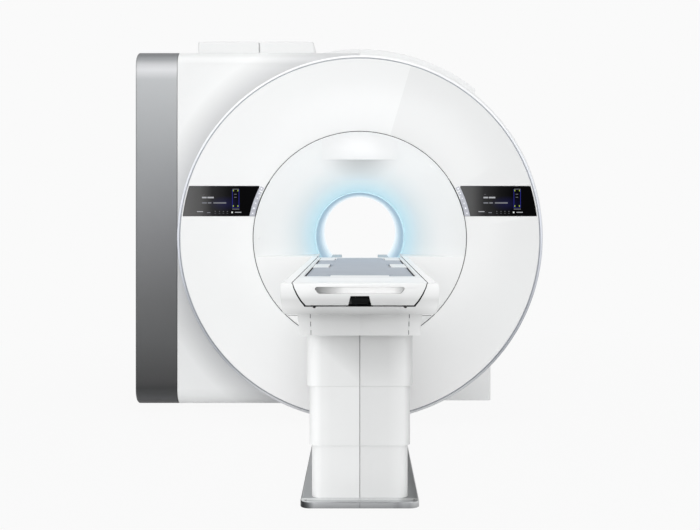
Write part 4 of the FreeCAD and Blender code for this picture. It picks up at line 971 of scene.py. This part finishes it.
def pad_loop(mesh, inset):
    """Points along the pad's top outline, in order, moved inwards by an inset."""
    shape = merged(mesh)
    top = max(shape.faces, key=lambda face: (round(face.calc_center_median().z, 3), face.calc_area()))
    corners = [vert.co.copy() for vert in top.verts]
    if top.normal.z < 0:
        corners.reverse()
    shape.free()
    moved = []
    for i, corner in enumerate(corners):
        into = (corner - corners[i - 1]).normalized()
        out = (corners[(i + 1) % len(corners)] - corner).normalized()
        aside = Vector((-into.y - out.y, into.x + out.x, 0)) / max(1 + into.dot(out), 0.2)
        moved.append(corner + inset * aside)
    return moved


def laid_on(mesh, corners, step, lift):
    """Points every step along a closed run of corners, dropped onto a mesh."""
    tree = BVHTree.FromPolygons([vert.co for vert in mesh.vertices],
                                [face.vertices for face in mesh.polygons])
    places = []
    for i, corner in enumerate(corners):
        following = corners[(i + 1) % len(corners)]
        count = max(1, round((following - corner).length / step))
        for j in range(count):
            place = corner.lerp(following, j / count)
            hit = tree.ray_cast(Vector((place.x, place.y, place.z + 0.05)), Vector((0, 0, -1)))[0]
            places.append(Vector((place.x, place.y, (hit.z if hit else place.z) + lift)))
    return places


def relaxed(piece, times):
    relax = piece.modifiers.new("relax", "SMOOTH")
    relax.factor, relax.iterations = 0.5, times
    settle(piece)


def swollen_pad(source):
    """The pad's foam and cover: remeshed, blown up a little by Cloth and held near its cut shape."""
    shape = merged(source)
    top = max(vert.co.z for vert in shape.verts)
    bottom = min(vert.co.z for vert in shape.verts)
    for vert in shape.verts:
        vert.co.z -= 0.8 * MM if vert.co.z > top - MM else -0.3 * MM
    piece = in_scene("pad_skin", from_bmesh("pad_skin", shape))
    remesh = piece.modifiers.new("remesh", "REMESH")
    remesh.mode = "VOXEL"
    remesh.voxel_size = PAD_VOXEL
    relaxed(piece, 3)
    before = [vert.co.copy() for vert in piece.data.vertices]
    cloth = piece.modifiers.new("cloth", "CLOTH")
    cloth.settings.use_pressure = True
    cloth.settings.uniform_pressure_force = PAD_PRESSURE
    cloth.settings.quality = 4
    cloth.settings.effector_weights.gravity = 0.0
    cloth.point_cache.frame_start, cloth.point_cache.frame_end = 1, CLOTH_FRAMES
    for step in range(1, CLOTH_FRAMES + 1):
        bpy.context.scene.frame_set(step)
    settle(piece)
    bpy.context.scene.frame_set(1)
    crown = looks().pad_crown * MM
    for vert, start in zip(piece.data.vertices, before):
        moved = vert.co - start
        if moved.length > crown:
            moved *= crown / moved.length
        moved.x *= 0.5
        moved.y *= 0.5
        vert.co = start + moved
        vert.co.z = max(vert.co.z, bottom + 0.2 * MM)
    relaxed(piece, 4)
    piece.data.shade_smooth()
    return piece


def tube_along(name, places, radius, sides=8):
    """A closed round tube through a closed run of points."""
    shape = bmesh.new()
    rings = []
    for i, place in enumerate(places):
        ahead = (places[(i + 1) % len(places)] - places[i - 1]).normalized()
        side = ahead.cross(Vector((0, 0, 1))).normalized()
        up = side.cross(ahead)
        rings.append([shape.verts.new(place + radius * (math.cos(turn) * side + math.sin(turn) * up))
                      for turn in (2 * math.pi * k / sides for k in range(sides))])
    join_loops(shape, zip(rings, rings[1:] + rings[:1]))
    return outward(name, shape, 60)


class SCANNER_OT_pad(bpy.types.Operator):
    """Soft pad with its welt and stitching"""
    bl_idname = "scanner.pad"
    bl_label = "Pad"

    def execute(self, context):
        source = frame["nodes"]["pad"].data
        pad = swollen_pad(source)
        pad.data.materials.clear()
        pad.data.materials.append(finish_of("pad_blue"))
        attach(pad, "cradle")
        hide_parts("pad")
        welt = laid_on(pad.data, pad_loop(source, 5 * MM), 6 * MM, 0.0)
        new_piece("pad_welt", tube_along("pad_welt", welt, 1.2 * MM), "pad_blue", "cradle")
        line = laid_on(pad.data, pad_loop(source, 12 * MM), 4 * MM, 0.1 * MM)
        seam = bpy.data.meshes.new("stitch_line")
        seam.from_pydata(line, [(i, (i + 1) % len(line)) for i in range(len(line))], [])
        threads = grown(seam, stitches_tree("pad_stitches", "thread"), {"Pitch": looks().stitch_pitch})
        new_piece("pad_stitching", threads, "thread", "cradle")
        return {"FINISHED"}


def wider_slot(place):
    """Let the pull slot's ends reach a little further out."""
    in_height = TABLE_TOP - 0.044 < place.z < TABLE_TOP - 0.013
    if in_height and 0.13 < abs(place.x) < 0.18 and place.y < TABLE_FRONT + 0.045:
        place.x += math.copysign(SLOT_REACH, place.x)


def slanted(place):
    """Slant the under frame's sides outwards to the top."""
    if abs(place.x) > FRAME_SIDE:
        low, high = (corner.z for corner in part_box("under_frame"))
        place.x += math.copysign(FRAME_SLANT * (2 * (place.z - low) / (high - low) - 1), place.x)


def front_line(node, across, low, high, wide_mm):
    """A dark strip of painted shade up the front of a frame node, along a seam or a slit."""
    front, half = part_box(node)[0].y, wide_mm / 2 * MM
    strips("%s_line_%d_%d" % (node, round(across * 1000) + 500, round(low * 1000)),
           [((across - half, front - 0.12 * MM, low), (across + half, front + 0.4 * MM, high))],
           "seam_shade", NODE_BODY[node], SHARP_MM)


class SCANNER_OT_table(bpy.types.Operator):
    """Sleeves, frames, board and cap of the patient table"""
    bl_idname = "scanner.table"
    bl_label = "Patient table"

    def execute(self, context):
        sleeves = ("lower_sleeve", "middle_sleeve", "upper_sleeve")
        for node in sleeves:
            dress(node, 1.5, finish="sleeve", split=True)
        dress("under_frame", 1.5, finish="under", move=slanted)
        dress("base_plate", 1.0)
        dress("table_frame", 2.5, finish="table", nose_mm=9.0)
        rear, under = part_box("cradle_board")[1].y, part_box("cradle_board")[0].z
        dress("cradle_board", 1.5, grooves=paired(
            STOP_ACROSS, GROOVE_HALF, rear - GROOVE_LENGTH, rear + 0.01, under - 0.01, STOP_TOP + 0.004))
        dress("end_cap", 2.5, finish="table", move=wider_slot, nose_mm=9.0)
        dress("release_paddle", 1.0)
        # painted shade in the middle seams of the sleeves and the plate, and in the under frame's slits
        for node in sleeves + ("base_plate",):
            front_line(node, 0.0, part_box(node)[0].z + 2 * MM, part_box(node)[1].z - 3 * MM, 1.4)
        for side in (-1, 1):
            for across, low, high in FRAME_SLITS:
                front_line("under_frame", side * across, low, high, 2.6)
        low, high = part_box("table_frame")
        body, top = NODE_BODY["table_frame"], TABLE_TOP
        # painted shade: black strips along the trough's edges
        strips("trough_edge_shade", paired(TROUGH_HALF + 1.8 * MM, 1.4 * MM, low.y + 12 * MM, high.y - 4 * MM,
                                      top - 1.5 * MM, top + 0.15 * MM),
               "black_plastic", body, SHARP_MM)
        # painted shade: a grey line for a shallow fold on the cap's top
        strips("cap_fold_shade", [((-0.163, low.y + 0.062, top - MM), (0.122, low.y + 0.067, top + 0.12 * MM))],
               "silver_trim", NODE_BODY["end_cap"], SHARP_MM)
        front, back = (corner.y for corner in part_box("pad"))
        # painted shade: dark strips in the gaps beside the pad
        strips("pad_gap_shade", paired(PAD_GAP, 1.3 * MM, front, back, top - 10 * MM, top + 0.15 * MM),
               "seam_shade", NODE_BODY["cradle_board"], SHARP_MM)
        # painted shade: a dark sheet in the gap beside the end cap, its outline as (across, drop) in mm from
        # the wall's upper edge
        wall = [(1.8, 0.8), (-0.7, 3), (-5.2, 20), (-16.2, 45), (-30.2, 69), (-48.0, 91.8)]
        face = [(0.4, 0.8), (-2.2, 3), (-7.6, 20), (-19.8, 45), (-35.2, 69), (-50.0, 87.5)]
        outer = [(TROUGH_HALF + (across + 1.2) * MM, top - (drop + 0.9) * MM) for across, drop in wall]
        inner = [(TROUGH_HALF + across * MM, top - drop * MM) for across, drop in face]
        loop = inner + [(0.184, top - 87.5 * MM), (0.184, top - 92.7 * MM)] + outer[::-1]
        for name, side in (("trough_shade_left", -1), ("trough_shade_right", 1)):
            seam_shade = run_along_y(name, [(side * across, up) for across, up in loop], low.y + 0.05 * MM,
                               low.y + 25 * MM)
            new_piece(name, seam_shade, "black_plastic", body)
        return {"FINISHED"}


PHOTO_SCALE = 156.94  # photo pixels in a metre at the gantry's front
PICTURE = {
    "screen_pale": ("#b6b8bc", [(0, 196.8, 4.6, 1.5), (5.4, 196.8, 6.4, 1.5), (-5, 211.2, 6, 0.8),
                                (33, 211.9, 6.3, 0.8)]),
    "screen_dim": ("#7c7e84", [(0, 202.2, 4.8, 1.4), (5.8, 202.2, 3.6, 1.4), (11.4, 202.2, 12.8, 1.4),
                               (30.3, 208.8, 7, 0.6), (32.2, 194.0, 2.4, 0.5), (32.2, 197.0, 2.4, 0.5),
                               (5, 212.2, 3.4, 0.8), (30.6, 188.9, 6.4, 0.5)]),
    "screen_faint": ("#5d5e62", [(12.8, 211.0, 1.0, 1.0), (17.0, 211.0, 1.0, 1.0), (20.9, 211.0, 1.0, 1.0),
                                 (24.9, 211.0, 1.0, 1.0), (12.5, 213.2, 1.6, 0.4), (16.7, 213.2, 1.6, 0.4),
                                 (20.6, 213.2, 1.6, 0.4), (24.6, 213.2, 1.6, 0.4), (0.6, 194.2, 2.0, 0.5)]),
    "screen_blue": ("#2c2e80", [(30.1, 189.4, 0.7, 18.4), (36.6, 189.4, 0.7, 18.4), (30.1, 207.6, 7.2, 0.4)]),
    "screen_green": ("#a6bb4a", [(30.9, 189.8, 0.9, 1.5), (35.5, 189.8, 0.9, 1.5), (30.9, 205.2, 0.9, 1.6),
                                 (35.5, 205.2, 0.9, 1.6)]),
    "screen_white": ("#f1f6f4", [(29.4, 211.6, 1.5, 1.5)]),
}
FINISHES.update({name: functools.partial(screen_light, name, colour)
                 for name, (colour, marks) in PICTURE.items()})
KEY_MARKS = ((4, 45), (24, 0), (3, 90), (3, -90), (4, 0), (24, 0))  # sides and turn in degrees


class SCANNER_OT_displays(bpy.types.Operator):
    """Displays with a generic picture, key panels and keys with their marks"""
    bl_idname = "scanner.displays"
    bl_label = "Displays and keys"

    def execute(self, context):
        for side, glass in (("left", "black_glass"), ("right", "black_glass_right")):
            dress("display_" + side, 0.8, finish=glass)
            dress("key_panel_" + side, 1.5)
            for name, (colour, marks) in PICTURE.items():
                boxes = []
                for across, down, wide, tall in marks:
                    left = SCREEN_START[side] + across / PHOTO_SCALE
                    high = CAMERA_PLACE[2] + (VANISHING_POINT[1] - down) / PHOTO_SCALE
                    boxes.append(((left, GANTRY_FRONT - 0.15 * MM, high - tall / PHOTO_SCALE),
                                  (left + wide / PHOTO_SCALE, GANTRY_FRONT + 0.3 * MM, high)))
                strips("%s_%s" % (name, side), boxes, name, "root", SHARP_MM)
            for number, (sides, turn) in enumerate(KEY_MARKS, 1):
                key = "key_%s_%d" % (side, number)
                dress(key, 1.2, finish="key_cap")
                low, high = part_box(key)
                middle = (low + high) / 2
                studs("mark_%s_%d" % (side, number), [(middle.x, low.y + 0.0002, middle.z)], [(0, -1, 0)],
                      "trim_mark", NODE_BODY[key], "key_silver", sides=sides, radius=0.0052, height=0.0006,
                      turn=math.radians(turn))
        return {"FINISHED"}


LAMPS = (  # name, place, what it points at, side in metres, power in watts
    ("key_light", (-10.0, -29.0, 8.0), (0.0, -0.8, 1.2), 16.0, 1430),
    ("fill_light", (18.0, -24.0, 5.0), (0.0, -0.8, 1.0), 10.0, 650),
    ("top_light", (0.0, -5.0, 10.0), (0.0, -2.0, 0.0), 8.0, 365),
    ("low_light", (1.0, -26.0, 3.2), (0.0, -0.8, 0.5), 6.0, 800),
)


class SCANNER_OT_stage(bpy.types.Operator):
    """Pale floor, soft lamps, world and camera"""
    bl_idname = "scanner.stage"
    bl_label = "Stage"

    def execute(self, context):
        scene = context.scene
        scene.view_settings.view_transform = "Standard"
        shape = bmesh.new()
        bmesh.ops.create_grid(shape, x_segments=1, y_segments=1, size=40.0)
        floor = in_scene("floor", from_bmesh("floor", shape))
        floor.location.z = -0.0005
        floor.data.materials.append(floor_finish())
        pale_world(scene)
        for lamp in LAMPS:
            soft_lamp(*lamp)
        lens = bpy.data.cameras.new("camera")
        lens.lens = 50.0
        lens.sensor_width = 36.0
        lens.shift_x = (PHOTO_WIDTH / 2 - VANISHING_POINT[0]) / PHOTO_WIDTH
        lens.shift_y = -(PHOTO_HEIGHT / 2 - VANISHING_POINT[1]) / PHOTO_WIDTH
        camera = in_scene("camera", lens)
        camera.location = CAMERA_PLACE
        camera.rotation_euler = (math.radians(90), 0, 0)
        scene.camera = camera
        return {"FINISHED"}


def shown_rays(tree):
    """1 for camera, glossy and transmission rays."""
    path = add(tree, "ShaderNodeLightPath").outputs
    seen = calc(tree, "MAXIMUM", path["Is Camera Ray"], path["Is Glossy Ray"])
    return calc(tree, "MAXIMUM", seen, path["Is Transmission Ray"])


def floor_finish():
    """Pale studio floor that keeps a faint shadow near the object and has no horizon."""
    made, tree, surface = material("pale_floor", "#f4f4f4", 0.9)
    glow = add(tree, "ShaderNodeEmission", (), {"Color": linear(SEEN_WHITE), "Strength": 1.0})
    fade = remap(tree, distance(tree, (0, -0.6, 0), (1, 1, 0)), 2.0, 5.0, 0.975, 1.0)
    blend = add(tree, "ShaderNodeMixShader", (), {
        0: product(tree, shown_rays(tree), fade), 1: surface.outputs["BSDF"], 2: glow.outputs["Emission"]})
    tree.links.new(blend.outputs["Shader"], tree.nodes["Material Output"].inputs["Surface"])
    return made


def pale_world(scene):
    """A plain light from all round that is seen as white."""
    world = bpy.data.worlds.new("pale_world")
    scene.world = world
    world.use_nodes = True
    tree = world.node_tree
    tree.nodes.clear()
    lit, seen = (add(tree, "ShaderNodeBackground", (), {"Color": linear(colour), "Strength": strength})
                 for colour, strength in (("#f4f4f4", 0.60), (SEEN_WHITE, 1.0)))
    blend = add(tree, "ShaderNodeMixShader", (), {
        0: shown_rays(tree), 1: lit.outputs["Background"], 2: seen.outputs["Background"]})
    add(tree, "ShaderNodeOutputWorld", (), {"Surface": blend.outputs["Shader"]})


def soft_lamp(name, place, target, side, power):
    """A square lamp that points at the target."""
    lamp = bpy.data.lights.new(name, "AREA")
    lamp.shape = "SQUARE"
    lamp.size = side
    lamp.energy = power
    holder = in_scene(name, lamp)
    holder.location = place
    holder.rotation_euler = (Vector(target) - Vector(place)).to_track_quat("-Z", "Y").to_euler()


STEPS = (SCANNER_OT_finishes, SCANNER_OT_covers, SCANNER_OT_funnel, SCANNER_OT_pad, SCANNER_OT_table,
         SCANNER_OT_displays, SCANNER_OT_stage)


class SCANNER_PT_looks(bpy.types.Panel):
    bl_idname = "SCANNER_PT_looks"
    bl_label = "Scanner"
    bl_space_type = "VIEW_3D"
    bl_region_type = "UI"
    bl_category = "Scanner"

    def draw(self, context):
        for name in ("edge_width", "glow", "pad_crown", "stitch_pitch"):
            self.layout.prop(context.scene.scanner_looks, name)
        for step in STEPS:
            self.layout.operator(step.bl_idname)


CLASSES = (ScannerLooks,) + STEPS + (SCANNER_PT_looks,)


def register():
    for made in CLASSES:
        bpy.utils.register_class(made)
    bpy.types.Scene.scanner_looks = bpy.props.PointerProperty(type=ScannerLooks)


def unregister():
    del bpy.types.Scene.scanner_looks
    for made in reversed(CLASSES):
        bpy.utils.unregister_class(made)


def main():
    register()
    for step in STEPS:
        group, name = step.bl_idname.split(".")
        getattr(getattr(bpy.ops, group), name)()


if __name__ == "__main__":
    main()
